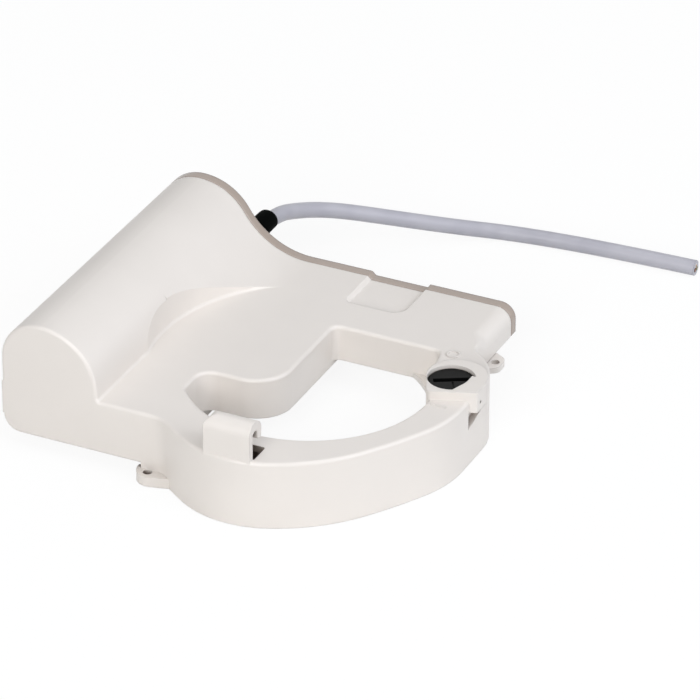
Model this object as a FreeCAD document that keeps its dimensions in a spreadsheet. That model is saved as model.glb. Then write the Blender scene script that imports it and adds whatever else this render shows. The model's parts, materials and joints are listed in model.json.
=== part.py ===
import FreeCAD, Part
import math
import os
import re

# Meter pulse transmitter: a moulded housing that drops over the round register of a meter.
# Millimetres, +Z up, -Y to the front. The origin is on the register's axis, in the plane of
# the collar's lower edge. The housing has a battery hump on the left, a flat deck at the rear,
# an open collar round the register, a hook in front and a slotted quarter-turn lock.

DIMENSIONS = {
    # register collar
    "register_radius": 38.6,
    "seat_radius": 36.0,
    "seat_bottom": 10.5,
    "seat_thickness": 1.8,
    "skirt_radius": 56.0,
    "skirt_left": 36.0,
    "collar_wall": 2.4,
    "collar_inner_wall": 2.2,
    "collar_roof": 2.35,
    "collar_rib": 1.6,
    "rib_pitch": 15.0,
    # plan of the housing
    "hump_left": 83.0,
    "front_wall": 43.0,
    "rear_edge": 62.0,
    "deck_right": 38.8,
    "front_break": 28.9,
    "nose_reach": 59.8,
    "nose_offset": 4.9,
    "collar_right": 50.1,
    "collar_rear": 27.6,
    "collar_rear_start": 34.8,
    "inlet_side": 30.7,
    "inlet_front": 23.4,
    "inlet_round": 3.0,
    "bulge_front": 11.9,
    "bulge_side": 6.3,
    "bulge_corner": 11.7,
    "rear_wall_line": 29.6,
    # levels
    "deck_top": 22.35,
    "deck_underside": 10.5,
    "body_underside": 4.56,
    "bulge_underside": 8.9,
    "bulge_floor": 1.2,
    "wall": 2.2,
    # battery hump
    "hump_top": 43.5,
    "hump_outer_round": 13.6,
    "hump_inner_round": 18.9,
    "hump_foot_round": 5.5,
    "hump_cavity_side": 54.0,
    "sweep_round": 26.0,
    "sweep_front": 6.0,
    "lid_radius": 54.0,
    "lid_centre_x": 1.9,
    "lid_centre_y": 3.1,
    "deck_end_round": 5.0,
    "edge_round": 1.1,
    "crease_round": 1.0,
    "arm_chamfer_width": 3.8,
    "arm_chamfer_height": 2.25,
    "recess_depth": 1.2,
    "recess_left": 10.4,
    "recess_right": 9.6,
    "recess_front": 44.4,
    "recess_slope": 1.3,
    # hook
    "hook_left": 8.9,
    "hook_width": 15.4,
    "hook_set_back": 5.3,
    "hook_wall": 2.2,
    "hook_gap": 3.2,
    "hook_tip": 2.6,
    "hook_rise": 7.8,
    "hook_inner_rise": 7.2,
    "hook_tip_clearance": 4.8,
    "hook_end_round": 3.5,
    "hook_hole_left": 7.4,
    "hook_hole_right": 6.9,
    "hook_hole_length": 7.6,
    # lock boss
    "boss_x": 42.4,
    "boss_y": 13.8,
    "boss_radius": 9.3,
    "boss_rise": 3.0,
    "lock_x": 41.36,
    "lock_y": 11.8,
    "lock_radius": 7.1,
    "lock_well_clearance": 0.27,
    "lock_head": 4.0,
    "lock_seal_thickness": 1.2,
    "lock_proud": 2.05,
    "lock_shank": 3.4,
    "lock_running_gap": 0.06,
    "lock_slot_width": 2.1,
    "lock_slot_length": 11.0,
    "lock_slot_depth": 1.6,
    "lock_slot_angle": 29.0,
    "lock_tail": 2.2,
    "lock_lip_start": 46.7,
    "lock_lip_rear": 15.2,
    "lock_lip_gap": 0.1,
    "lock_clip_thickness": 0.8,
    "lock_clip_radius": 5.2,
    "cam_top": 8.8,
    "cam_bottom": 4.2,
    "cam_reach": 7.0,
    "cam_half_width": 2.5,
    # seal eyelets
    "seal_hole": 1.4,
    "left_eye_x": 32.9,
    "left_eye_y": 44.5,
    "left_eye_thickness": 3.3,
    "right_eye_x": 40.65,
    "right_eye_y": 45.9,
    "right_eye_thickness": 1.9,
    "wire_hole": 0.55,
    "lug_thickness": 2.3,
    "lug_underside": 18.4,
    # marks beside the lock
    "mark_rise": 0.3,
    "mark_width": 0.8,
    "mark_length": 5.2,
    "mark_radius": 2.3,
    # rear cover
    "rear_cover_thickness": 3.6,
    "rear_lip": 2.0,
    "rear_lip_wall": 1.5,
    "fit_gap": 0.15,
    "gasket_thickness": 0.8,
    "gasket_margin": 0.5,
    "rear_room_depth": 19.0,
    "screw_radius": 1.25,
    "screw_head_radius": 2.4,
    "screw_head_height": 1.5,
    "pilot_gap": 0.05,
    # base cover
    "ledge_underside": 7.4,
    "ledge_thickness": 1.5,
    "base_cover_thickness": 2.04,
    "base_screw_inset": 3.4,
    "base_screw_radius": 2.0,
    "base_head_height": 1.3,
    "cover_left": 77.0,
    "cover_right": 37.6,
    "cover_front": 40.0,
    "cover_rear": 59.0,
    "ledge_width": 3.0,
    # battery, capacitor and cradle
    "battery_radius": 13.1,
    "battery_length": 50.0,
    "battery_front": 35.0,
    "battery_x": 67.4,
    "battery_z": 26.9,
    "battery_nub": 3.5,
    "battery_nub_length": 1.2,
    "terminal_thickness": 0.4,
    "cradle_left": 73.4,
    "cradle_width": 15.6,
    "cradle_floor": 1.8,
    "cradle_rib": 3.0,
    "capacitor_radius": 7.5,
    "capacitor_length": 20.0,
    "capacitor_front": 21.0,
    "capacitor_x": 66.0,
    "capacitor_z": 17.8,
    "cradle_seat_gap": 0.05,
    # circuit board
    "board_underside": 13.0,
    "board_thickness": 1.6,
    "pillar_radius": 2.4,
    # sensor coils
    "coil_x": 17.5,
    "coil_front_y": 3.0,
    "coil_spacing": 17.0,
    "bobbin_radius": 5.0,
    "bobbin_flange": 0.5,
    "bobbin_hub": 2.2,
    "core_radius": 1.4,
    "winding_radius": 4.4,
    # cable
    "gland_x": 51.7,
    "gland_z": 25.6,
    "gland_radius": 3.5,
    "gland_length": 10.0,
    "gland_shank": 2.95,
    "gland_barb": 3.2,
    "cable_radius": 2.575,
    "tail_inner_end": 50.0,
    "wire_radius": 0.6,
}

doc = FreeCAD.newDocument("meter_pulse_transmitter")
sheet = doc.addObject("Spreadsheet::Sheet", "dimensions")
for row, (alias, value) in enumerate(DIMENSIONS.items(), start=1):
    sheet.set("A%d" % row, alias)
    sheet.set("B%d" % row, str(value))
    sheet.setAlias("B%d" % row, alias)
doc.recompute()
size = {alias: float(sheet.get(alias)) for alias in DIMENSIONS}

TURN = {
    "XY": FreeCAD.Rotation(),
    "XZ": FreeCAD.Rotation(FreeCAD.Vector(1, 0, 0), 90),
    "YZ": FreeCAD.Rotation(FreeCAD.Vector(1, 1, 1), 120),
}
ALONG = {
    "X": FreeCAD.Rotation(FreeCAD.Vector(0, 1, 0), 90),
    "Y": FreeCAD.Rotation(FreeCAD.Vector(1, 0, 0), -90),
    "Z": FreeCAD.Rotation(),
}
NORMAL = {"XY": ("z", (0, 0, 1)), "XZ": ("y", (0, 1, 0)), "YZ": ("x", (1, 0, 0))}
WORD = re.compile(r"[a-z][a-z_]+")


def bind(item, prop, rule):
    # A rule is a sum written in the sheet's own names.
    item.setExpression(prop, WORD.sub(lambda found: "dimensions." + found.group(), rule))


def move(item, base):
    for axis, rule in zip("xyz", base):
        bind(item, "Placement.Base." + axis, rule)


def box(name, low, extent):
    item = doc.addObject("Part::Box", name)
    for prop, rule in zip(("Length", "Width", "Height"), extent):
        bind(item, prop, rule)
    move(item, low)
    return item


def cylinder(name, radius, length, base, along="Z"):
    item = doc.addObject("Part::Cylinder", name)
    item.Placement.Rotation = ALONG[along]
    bind(item, "Radius", radius)
    bind(item, "Height", length)
    move(item, base)
    return item


def fuse(name, items):
    item = doc.addObject("Part::MultiFuse", name)
    item.Shapes = items
    return item


def cut(name, base, tools):
    item = doc.addObject("Part::Cut", name)
    item.Base = base
    item.Tool = tools[0] if len(tools) == 1 else fuse(name + "_tools", tools)
    return item


def overlap(name, items):
    item = doc.addObject("Part::MultiCommon", name)
    item.Shapes = items
    return item


def point(x, y):
    return FreeCAD.Vector(x, y, 0)


def edges(corners):
    # Each corner is (x, y), (x, y, radius) or (x, y, 0, middle of the arc to the next corner).
    count = len(corners)
    places = [point(c[0], c[1]) for c in corners]
    starts, ends, rounds = [], [], []
    for i, corner in enumerate(corners):
        radius = corner[2] if len(corner) > 2 else 0
        here = places[i]
        if radius == 0:
            starts.append(here)
            ends.append(here)
            continue
        back = (places[i - 1] - here).normalize()
        ahead = (places[(i + 1) % count] - here).normalize()
        half = back.getAngle(ahead) / 2
        reach = radius / math.tan(half)
        middle_line = (back + ahead).normalize()
        middle = here + middle_line * (radius / math.sin(half) - radius)
        starts.append(here + back * reach)
        ends.append(here + ahead * reach)
        rounds.append(Part.Arc(starts[i], middle, ends[i]))
    pieces = []
    for i, corner in enumerate(corners):
        first = ends[i]
        last = starts[(i + 1) % count]
        if len(corner) > 3:
            pieces.append(Part.Arc(first, point(*corner[3]), last))
        elif (last - first).Length > 1e-6:
            pieces.append(Part.LineSegment(first, last))
    return pieces + rounds


def sketch(name, plane, corners, start):
    item = doc.addObject("Sketcher::SketchObject", name)
    item.Placement.Rotation = TURN[plane]
    item.addGeometry(edges(corners), False)
    bind(item, "Placement.Base." + NORMAL[plane][0], start)
    return item


def extrude(name, base, plane, length):
    item = doc.addObject("Part::Extrusion", name)
    item.Base = base
    item.DirMode = "Custom"
    item.Dir = NORMAL[plane][1]
    item.Solid = True
    bind(item, "LengthFwd", length)
    return item


def prism(name, plane, corners, start, length):
    return extrude(name, sketch(name + "_outline", plane, corners, start), plane, length)


def grown(name, outline, value):
    face = doc.addObject("Part::Face", name + "_face")
    face.Sources = (outline,)
    item = doc.addObject("Part::Offset2D", name)
    item.Source = face
    bind(item, "Value", value)
    return item


def level(edge, axis, value):
    # True for an edge that lies in the plane where the axis has this value.
    return all(abs(corner.Point[axis] - value) < 1e-4 for corner in edge.Vertexes)


def rounded(name, base, radii):
    # radii gives an edge's radius at its two ends, or None for an edge that stays sharp.
    doc.recompute()
    item = doc.addObject("Part::Fillet", name)
    item.Base = base
    picks = []
    for i, edge in enumerate(base.Shape.Edges, start=1):
        ends = radii(edge)
        if ends:
            picks.append((i, ends[0], ends[1]))
    item.Edges = picks
    return item


def tube(name, route, radius):
    # Straight runs joined by tangent arcs, each arc as large as its two runs allow.
    path = [FreeCAD.Vector(*p) for p in route]
    pieces, radii = [], []
    last = path[0]
    for before, here, after in zip(path, path[1:], path[2:]):
        back = before - here
        ahead = after - here
        shorter = min(back.Length, ahead.Length)
        back.normalize()
        ahead.normalize()
        half_turn = (math.pi - back.getAngle(ahead)) / 2
        reach = 0.45 * shorter
        bend = reach / math.tan(half_turn)
        radii.append(bend)
        middle_line = (back + ahead).normalize()
        first = here + back * reach
        final = here + ahead * reach
        middle = here + middle_line * (bend / math.cos(half_turn) - bend)
        pieces.append(Part.LineSegment(last, first).toShape())
        pieces.append(Part.Arc(first, middle, final).toShape())
        last = final
    pieces.append(Part.LineSegment(last, path[-1]).toShape())
    spine = Part.Wire(pieces)
    ring = Part.Wire(Part.makeCircle(radius, path[0], path[1] - path[0]))
    solid = spine.makePipeShell([ring], True, False)
    item = doc.addObject("Part::Feature", name)
    item.Shape = solid
    expected = math.pi * radius ** 2 * spine.Length
    print("%s length %.1f volume ratio %.4f radii %s" % (
        name, spine.Length, solid.Volume / expected, " ".join("%.1f" % r for r in radii)))
    return item


nodes = []


def node(label, item):
    item.Label = label
    nodes.append(item)
    return item


# Values that follow from the sheet and are used in the outlines.
LEFT = -size["hump_left"]
FRONT = -size["front_wall"]
REAR = size["rear_edge"]
RIGHT = size["deck_right"]
TOP = size["deck_top"]
WALL = size["wall"]
FLOOR = size["body_underside"]
INLET = -size["inlet_side"]
BULGE = -size["bulge_side"]
REGISTER = size["register_radius"]

hump_middle = LEFT + size["hump_outer_round"]
outer_centre = size["hump_top"] - size["hump_outer_round"]
inner_centre = size["hump_top"] - size["hump_inner_round"]
sweep_z = TOP + size["sweep_round"]
sweep_reach = size["hump_inner_round"] + size["sweep_round"]
sweep_x = hump_middle + math.sqrt(sweep_reach ** 2 - (sweep_z - inner_centre) ** 2)
touch = size["hump_inner_round"] / sweep_reach
touch_x = hump_middle + (sweep_x - hump_middle) * touch
touch_z = inner_centre + (sweep_z - inner_centre) * touch


def on_circle(x, y, radius, degrees):
    return (x + radius * math.cos(math.radians(degrees)),
            y + radius * math.sin(math.radians(degrees)))


def angle_to(x, y, px, py):
    return math.degrees(math.atan2(py - y, px - x))


def turned(label, section, base, along):
    # A body turned about its own Z axis from a section given as (radius, height).
    body = doc.addObject("PartDesign::Body", label)
    profile = body.newObject("Sketcher::SketchObject", label + "_section")
    plane = [f for f in body.Origin.OriginFeatures if f.Role == "XZ_Plane"][0]
    profile.AttachmentSupport = [(plane, "")]
    profile.MapMode = "FlatFace"
    profile.addGeometry(edges(section), False)
    turn = body.newObject("PartDesign::Revolution", label + "_turn")
    turn.Profile = profile
    turn.ReferenceAxis = (profile, ["V_Axis"])
    turn.Angle = 360
    body.Placement.Rotation = ALONG[along]
    move(body, base)
    return body


# Battery, its two flat terminals, the capacitor beside it and the cradle that holds both.


# Plan of the deck and collar, seen from above.
NOSE = -size["nose_reach"]
PLAN = [
    (LEFT, FRONT),
    (-size["front_break"], FRONT, 10.0),
    (-size["nose_offset"], NOSE, 32.0),
    (size["collar_right"] - 23.8, NOSE + 13.3, 54.0),
    (size["collar_right"] - 9.1, NOSE + 35.1, 140.0),
    (size["collar_right"], NOSE + 52.0, 38.0),
    (size["collar_right"], size["collar_rear"], 20.4),
    (RIGHT, 34.9, 4.0),
    (RIGHT, 45.0),
    (RIGHT, REAR),
    (LEFT, REAR),
]

corner_angle = 36.4
opening_start = on_circle(0, 0, REGISTER, corner_angle)
inlet_start = 180 + math.degrees(math.acos(size["inlet_side"] / REGISTER)) + 8
opening_end = on_circle(0, 0, REGISTER, inlet_start)
slope = math.tan(math.radians(inlet_start))
inlet_corner = opening_end[1] + (opening_end[0] - INLET) / slope
OPENING = [
    (opening_start[0], opening_start[1], 0, (0, -REGISTER)),
    opening_end,
    (INLET, inlet_corner, size["inlet_round"]),
    (INLET, -size["bulge_front"], 5.0),
    (BULGE, -size["bulge_front"], size["bulge_corner"]),
    (BULGE, size["rear_wall_line"], 2.5),
    (size["rear_wall_line"], size["rear_wall_line"], 3.0),
]

left_arc = on_circle(hump_middle, outer_centre, size["hump_outer_round"], 135)
CREASE = size["crease_round"]
foot_z = max(TOP, inner_centre)
foot_x = hump_middle + math.sqrt(size["hump_inner_round"] ** 2 - (foot_z - inner_centre) ** 2)
right_arc = on_circle(hump_middle, inner_centre, size["hump_inner_round"],
                      (90 + angle_to(hump_middle, inner_centre, foot_x, foot_z)) / 2)
BODY = [
    (LEFT, FLOOR, size["hump_foot_round"]),
    (INLET, FLOOR),
    (INLET, TOP),
    (foot_x, TOP, min(CREASE, foot_z - TOP)),
    (foot_x, foot_z, 0, right_arc),
    (hump_middle, size["hump_top"], 0, left_arc),
    (LEFT, outer_centre),
]
sweep_arc = on_circle(sweep_x, sweep_z, size["sweep_round"],
                      (angle_to(sweep_x, sweep_z, touch_x, touch_z) % 360 + 270) / 2)
SWEEP = [
    (touch_x, touch_z, 0, sweep_arc),
    (sweep_x, TOP),
    (sweep_x, TOP - WALL),
    (touch_x - 4, TOP - WALL),
    (touch_x - 4, touch_z),
]

EDGE = size["edge_round"]
END_ROUND = size["deck_end_round"]


def deck_radii(edge):
    first, last = edge.Vertexes[0].Point, edge.Vertexes[-1].Point
    if not level(edge, 2, TOP) or level(edge, 1, REAR):
        return None
    if level(edge, 0, RIGHT) and max(first.y, last.y) > 44:
        return [EDGE if end.y < 44 else END_ROUND for end in (first, last)]
    return [EDGE, EDGE]


def front_radii(edge):
    return [EDGE, EDGE] if level(edge, 1, FRONT) else None


# Housing: the outer block.
plan = sketch("plan", "XY", PLAN, "deck_underside")
deck = rounded("deck", extrude("deck_block", plan, "XY", "deck_top - deck_underside"), deck_radii)
body = rounded("body", prism("body_block", "XZ", BODY, "-front_wall", "front_wall + rear_edge"),
               front_radii)
sweep = prism("sweep", "XZ", SWEEP, "sweep_front", "rear_edge - sweep_front")
bulge = box("bulge", ("-inlet_side - 1", "-bulge_front - 8", "bulge_underside"),
            ("inlet_side - bulge_side + 1", "bulge_front + 8 + rear_edge",
             "deck_underside - bulge_underside + 1"))
collar_plan = sketch("collar_plan", "XY", PLAN, "0")
collar_block = extrude("collar_block", collar_plan, "XY", "deck_underside + 1")
collar_disc = cylinder("collar_disc", "skirt_radius", "deck_underside + 1", ("0", "0", "0"))
collar_left = box("collar_left", ("-skirt_left", "-nose_reach", "0"),
                  ("skirt_left + 17", "nose_reach - inlet_front + 1", "deck_underside + 1"))
collar_right = box("collar_right", ("16", "-nose_reach", "0"),
                   ("skirt_radius", "nose_reach", "deck_underside + 1"))
collar_back = box("collar_back", ("collar_rear_start", "-1", "0"),
                  ("skirt_radius", "collar_rear + 6", "deck_underside + 1"))
skirt = overlap("skirt", [collar_block, collar_disc,
                          fuse("skirt_reach", [collar_left, collar_right, collar_back])])
solid_block = fuse("solid_block", [deck, body, sweep, bulge, skirt])

# Housing: what is taken from the outer block.
LID = [
    (0, TOP),
    (size["lid_radius"], TOP, CREASE),
    (size["lid_radius"], size["hump_top"] + 5),
    (0, size["hump_top"] + 5),
]
lid_sweep = turned("lid_sweep", LID, ("lid_centre_x", "lid_centre_y", "0"), "Z")
opening = prism("opening", "XY", OPENING, "-1", "deck_top + 2")
arm_end = RIGHT + 1
ARM_CHAMFER = [
    (RIGHT - size["arm_chamfer_width"], size["deck_underside"]),
    (RIGHT - size["arm_chamfer_width"], size["deck_underside"] - 1),
    (arm_end, size["deck_underside"] - 1),
    (arm_end, size["deck_underside"] + size["arm_chamfer_height"]),
    (RIGHT, size["deck_underside"] + size["arm_chamfer_height"]),
]
arm_chamfer = prism("arm_chamfer", "XZ", ARM_CHAMFER, "rear_edge - 24", "25")



def opening_radii(edge):
    corners = [corner.Point for corner in edge.Vertexes]
    if not level(edge, 2, TOP) or level(edge, 1, REAR):
        return None
    inside = all(math.hypot(corner.x, corner.y) < size["skirt_radius"] - 13
                 and corner.x > INLET - 1 and corner.y < size["rear_wall_line"] + 1
                 for corner in corners)
    return [EDGE, EDGE] if inside else None


outer = rounded("outer", cut("outer_block", solid_block, [lid_sweep, arm_chamfer, opening]),
                opening_radii)
RECESS_LEFT = -size["recess_left"]
RECESS_RIGHT = size["recess_right"]
RECESS_FRONT = size["recess_front"]
RECESS = [(RECESS_LEFT, RECESS_FRONT, 2.5), (RECESS_RIGHT, RECESS_FRONT, 4.5),
          (RECESS_RIGHT, REAR + 20), (RECESS_LEFT, REAR + 20)]
recess_plan = prism("recess_plan", "XY", RECESS, "deck_top - recess_depth", "recess_depth + 1")
RECESS_SECTION = [
    (RECESS_LEFT, TOP + 1),
    (RECESS_LEFT, TOP),
    (RECESS_LEFT + size["recess_slope"], TOP - size["recess_depth"]),
    (RECESS_RIGHT - 0.3, TOP - size["recess_depth"]),
    (RECESS_RIGHT, TOP),
    (RECESS_RIGHT, TOP + 1),
]
recess_section = prism("recess_section", "XZ", RECESS_SECTION, "recess_front - 1", "40")
recess = overlap("recess", [recess_plan, recess_section])

# Rooms inside the housing.
hump_side = -size["hump_cavity_side"]
small_round = size["hump_outer_round"] - WALL
large_round = size["hump_inner_round"] - WALL
side_top = inner_centre + math.sqrt(large_round ** 2 - (hump_side - hump_middle) ** 2)
side_angle = angle_to(hump_middle, inner_centre, hump_side, side_top)
ledge_top = size["ledge_underside"] + size["ledge_thickness"]
room_left_arc = on_circle(hump_middle, outer_centre, small_round, 135)
room_right_arc = on_circle(hump_middle, inner_centre, large_round, (90 + side_angle) / 2)
HUMP_ROOM = [
    (LEFT + WALL, ledge_top, 2.0),
    (hump_side, ledge_top),
    (hump_side, side_top, 0, room_right_arc),
    (hump_middle, size["hump_top"] - WALL, 0, room_left_arc),
    (LEFT + WALL, outer_centre),
]
hump_room = prism("hump_room", "XZ", HUMP_ROOM, "-front_wall + wall",
                  "front_wall + rear_edge - wall + 1")
side_room = box("side_room", ("-hump_cavity_side - 1", "-front_wall + wall",
                              "ledge_underside + ledge_thickness"),
                ("hump_cavity_side + 1 - inlet_side - wall", "front_wall + rear_edge",
                 "deck_top - wall - ledge_underside - ledge_thickness"))
BULGE_ROOM = [
    (INLET - WALL - 1, -size["bulge_front"] + WALL),
    (BULGE - WALL, -size["bulge_front"] + WALL, size["bulge_corner"] - WALL),
    (BULGE - WALL, REAR + 1),
    (INLET - WALL - 1, REAR + 1),
]
bulge_room = prism("bulge_room", "XY", BULGE_ROOM, "bulge_underside + bulge_floor",
                   "deck_top - bulge_underside - wall - bulge_floor")
arm_room = box("arm_room", ("-bulge_side - wall - 1", "rear_wall_line + wall",
                            "deck_underside + wall"),
               ("bulge_side + 1 + deck_right", "rear_edge - rear_wall_line",
                "deck_top - deck_underside - 2 * wall"))
room_floor = size["bulge_underside"] + size["bulge_floor"]
arm_floor = size["deck_underside"] + WALL
room_roof = TOP - WALL
inner_sweep = size["sweep_round"] + WALL
inner_touch = (size["hump_inner_round"] - WALL) / sweep_reach
meet_x = hump_middle + (sweep_x - hump_middle) * inner_touch
meet_z = inner_centre + (sweep_z - inner_centre) * inner_touch
meet_angle = angle_to(sweep_x, sweep_z, meet_x, meet_z) % 360
REAR_ROOM = [
    (LEFT + WALL, room_floor, 3.0),
    (BULGE - WALL, room_floor),
    (BULGE - WALL, arm_floor),
    (RIGHT - WALL, arm_floor, 1.0),
    (RIGHT - WALL, room_roof, 3.0),
    (sweep_x, room_roof, 0,
     on_circle(sweep_x, sweep_z, inner_sweep, (meet_angle + 270) / 2)),
    (meet_x, meet_z, 0,
     on_circle(hump_middle, inner_centre, large_round,
               (90 + angle_to(hump_middle, inner_centre, meet_x, meet_z)) / 2)),
    (hump_middle, size["hump_top"] - WALL, 0, room_left_arc),
    (LEFT + WALL, outer_centre),
]
rear_room = prism("rear_room", "XZ", REAR_ROOM, "rear_edge - rear_room_depth",
                  "rear_room_depth + 1")
gland_relief = cylinder("gland_relief", "gland_barb + 0.1", "rear_room_depth + 1",
                        ("-gland_x", "rear_edge - rear_room_depth", "gland_z"), "Y")
ledge_window = box("ledge_window",
                   ("-cover_left + ledge_width", "-cover_front + ledge_width",
                    "ledge_underside - 1"),
                   ("cover_left - cover_right - 2 * ledge_width",
                    "cover_front + cover_rear - 2 * ledge_width", "ledge_thickness + 2"))
cover_pocket = box("cover_pocket", ("-cover_left", "-cover_front", "body_underside - 1"),
                   ("cover_left - cover_right", "cover_front + cover_rear",
                    "ledge_underside - body_underside + 1"))

# Ribbed core of the collar: the skirt is hollow from below between its two walls, the core
# follows the lobed outline at a constant wall, and radial ribs tie the walls together.
core_outline = grown("core_outline", collar_plan, "-collar_wall")
core_block = extrude("core_block", core_outline, "XY", "deck_top - collar_roof")
core_bore = cylinder("core_bore", "register_radius + collar_inner_wall", "deck_top",
                     ("0", "0", "-1"))
core_disc = cylinder("core_disc", "skirt_radius - collar_wall", "deck_top", ("0", "0", "-1"))
core_left = box("core_left", ("-inlet_side + 1", "-nose_reach", "-1"),
                ("inlet_side + 16", "nose_reach - inlet_front - 3", "deck_top"))
core_right = box("core_right", ("14", "-nose_reach", "-1"),
                 ("skirt_radius", "nose_reach - collar_wall", "deck_top"))
core_back = box("core_back", ("collar_rear_start + collar_wall", "-collar_wall - 1", "-1"),
                ("skirt_radius", "rear_wall_line + collar_wall + 1", "deck_top"))
rib_angle = 225 + size["rib_pitch"] / 2
ribs = []
lock_angle = 360 + math.degrees(math.atan2(size["lock_y"], size["lock_x"]))
while rib_angle < 225 + 165:
    if abs(rib_angle - lock_angle) < 12:
        rib_angle += size["rib_pitch"]
        continue
    rib = box("collar_rib_%d" % len(ribs), ("0", "0", "-1"),
              ("skirt_radius + 5", "collar_rib", "deck_top"))
    rib.Placement.Rotation = FreeCAD.Rotation(FreeCAD.Vector(0, 0, 1), rib_angle)
    across = math.radians(rib_angle + 90)
    bind(rib, "Placement.Base.x", "-collar_rib / 2 * %.9f" % math.cos(across))
    bind(rib, "Placement.Base.y", "-collar_rib / 2 * %.9f" % math.sin(across))
    ribs.append(rib)
    rib_angle += size["rib_pitch"]
core_block = overlap("core_sector", [core_block, core_disc,
                                     fuse("core_reach", [core_left, core_right, core_back])])
core = cut("core", core_block, [core_bore] + ribs)

# Hook over the front of the collar: its front follows the collar's own outline.
hook_front = size["hook_set_back"] - size["nose_reach"]
hook_back = hook_front + size["hook_wall"]
hook_inner = hook_back + size["hook_gap"]
hook_tip = hook_inner + size["hook_tip"]
hook_round = (hook_tip - hook_front) / 2
hook_spring = TOP + size["hook_rise"]
hook_low = TOP + size["hook_tip_clearance"]
hook_top = hook_spring + hook_round
hook_centre = hook_front + hook_round
gap_centre = (hook_back + hook_inner) / 2
gap_spring = TOP + size["hook_inner_rise"]
hook_base = TOP - EDGE - 0.2
HOOK = [
    (hook_front, hook_base),
    (hook_front, hook_spring, 0, on_circle(hook_centre, hook_spring, hook_round, 135)),
    (hook_centre, hook_top, 0, on_circle(hook_centre, hook_spring, hook_round, 45)),
    (hook_tip, hook_spring),
    (hook_tip - 0.3, hook_low, 0.8),
    (hook_inner, hook_low + 0.6, 0.4),
    (hook_inner, gap_spring, 0, (gap_centre, gap_spring + size["hook_gap"] / 2)),
    (hook_back, gap_spring),
    (hook_back, hook_base),
]
hook_bar = prism("hook_bar", "YZ", HOOK, "-hook_left", "hook_width")
hook_reach = extrude("hook_reach", sketch("hook_plan", "XY", PLAN, "deck_top - edge_round - 0.3"), "XY",
                     "edge_round + hook_rise + hook_wall + hook_gap + hook_tip + 1")
HOOK_LEFT = -size["hook_left"]
HOOK_ROUND = size["hook_end_round"]
HOOK_SIDE = [
    (HOOK_LEFT - 1, hook_top - HOOK_ROUND),
    (HOOK_LEFT, hook_top - HOOK_ROUND, 0,
     on_circle(HOOK_LEFT + HOOK_ROUND, hook_top - HOOK_ROUND, HOOK_ROUND, 135)),
    (HOOK_LEFT + HOOK_ROUND, hook_top),
    (HOOK_LEFT + HOOK_ROUND, hook_top + 2),
    (HOOK_LEFT - 1, hook_top + 2),
]
hook_side = prism("hook_side", "XZ", HOOK_SIDE, "hook_set_back - nose_reach - 1", "12")
hook = cut("hook", overlap("hook_followed", [hook_bar, hook_reach]), [hook_side])
hole_left = -size["hook_hole_left"]
hole_right = size["hook_hole_right"]
hole_rear = hook_back + size["hook_hole_length"]
HOOK_HOLE = [(hole_left, hook_back), (hole_right, hook_back),
             (hole_right, hole_rear, 0.8), (hole_left, hole_rear, 0.8)]
hook_hole = prism("hook_hole", "XY", HOOK_HOLE, "deck_top - collar_roof - 1", "collar_roof + 2")

# Lock boss on the right of the collar, with the well of the lock and the seal lug.
boss_x = size["boss_x"]
boss_y = size["boss_y"]
boss_r = size["boss_radius"]
lean = math.radians(20.6)
front_left = (37.9, 1.05)
front_right = (front_left[0] + 15.3 * math.cos(lean), front_left[1] + 15.3 * math.sin(lean))
BOSS = [
    (front_left[0], front_left[1], 1.5),
    (front_right[0], front_right[1], 1.5),
    (boss_x + boss_r - 0.1, boss_y + 2.2),
    (boss_x, boss_y + 3),
    (on_circle(boss_x, boss_y, boss_r, 197)[0], on_circle(boss_x, boss_y, boss_r, 197)[1]),
]
boss_round = cylinder("boss_round", "boss_radius",
                      "deck_top + boss_rise - deck_underside",
                      ("boss_x", "boss_y", "deck_underside"))
boss_front = prism("boss_front", "XY", BOSS, "deck_underside + 4",
                   "deck_top + boss_rise - deck_underside - 4")
boss_limit = box("boss_limit", ("seat_radius - 3", "-5", "deck_underside"),
                 ("collar_right - seat_radius + 3", "35", "deck_top - deck_underside"))
boss_cap = box("boss_cap", ("seat_radius - 3", "-5", "deck_top"), ("25", "35", "boss_rise"))
boss_block = overlap("boss_block", [fuse("boss_outer", [boss_round, boss_front]),
                                    fuse("boss_reach", [boss_limit, boss_cap])])
lock_floor_rule = "deck_top + lock_proud - lock_head - lock_seal_thickness - lock_running_gap"
well = cylinder("well", "lock_radius + lock_well_clearance", "20",
                ("lock_x", "lock_y", lock_floor_rule))
lip_x = size["lock_lip_start"]
lip_y = size["lock_lip_rear"]
LIP = [(lip_x, lip_y), (lip_x, lip_y - 4.2, 6.0), (lip_x - 2.4, lip_y - 11.0), (lip_x + 6, lip_y - 11.0),
       (lip_x + 6, lip_y)]
lock_lip = prism("lock_lip", "XY", LIP, "deck_top + lock_proud + lock_lip_gap", "20")
lock_well = cut("lock_well", well, [lock_lip])
lock_bore = cylinder("lock_bore", "lock_shank + lock_running_gap", "deck_top",
                     ("lock_x", "lock_y", "0"))
cam_window = box("cam_window", ("lock_x - cam_reach - 1.5", "lock_y - cam_reach - 1",
                                "cam_bottom - 1"),
                 ("cam_reach + 2", "2 * cam_reach + 2", "deck_underside - cam_bottom + 0.2"))
cam_room = cylinder("cam_room", "lock_clip_radius + 0.6", "deck_underside - cam_bottom + 1",
                    ("lock_x", "lock_y", "cam_bottom - 1"))
NOTCH = [(5.3, 12.4), (17.0, 15.6), (17.0, 18.4), (5.3, 18.4)]
notch = prism("notch", "YZ", NOTCH, "collar_right - 2.2", "6")
lug_face = size["collar_right"] + size["lug_thickness"]
lug_line = math.tan(lean)
lug_back = size["collar_right"] - 0.6
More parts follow.
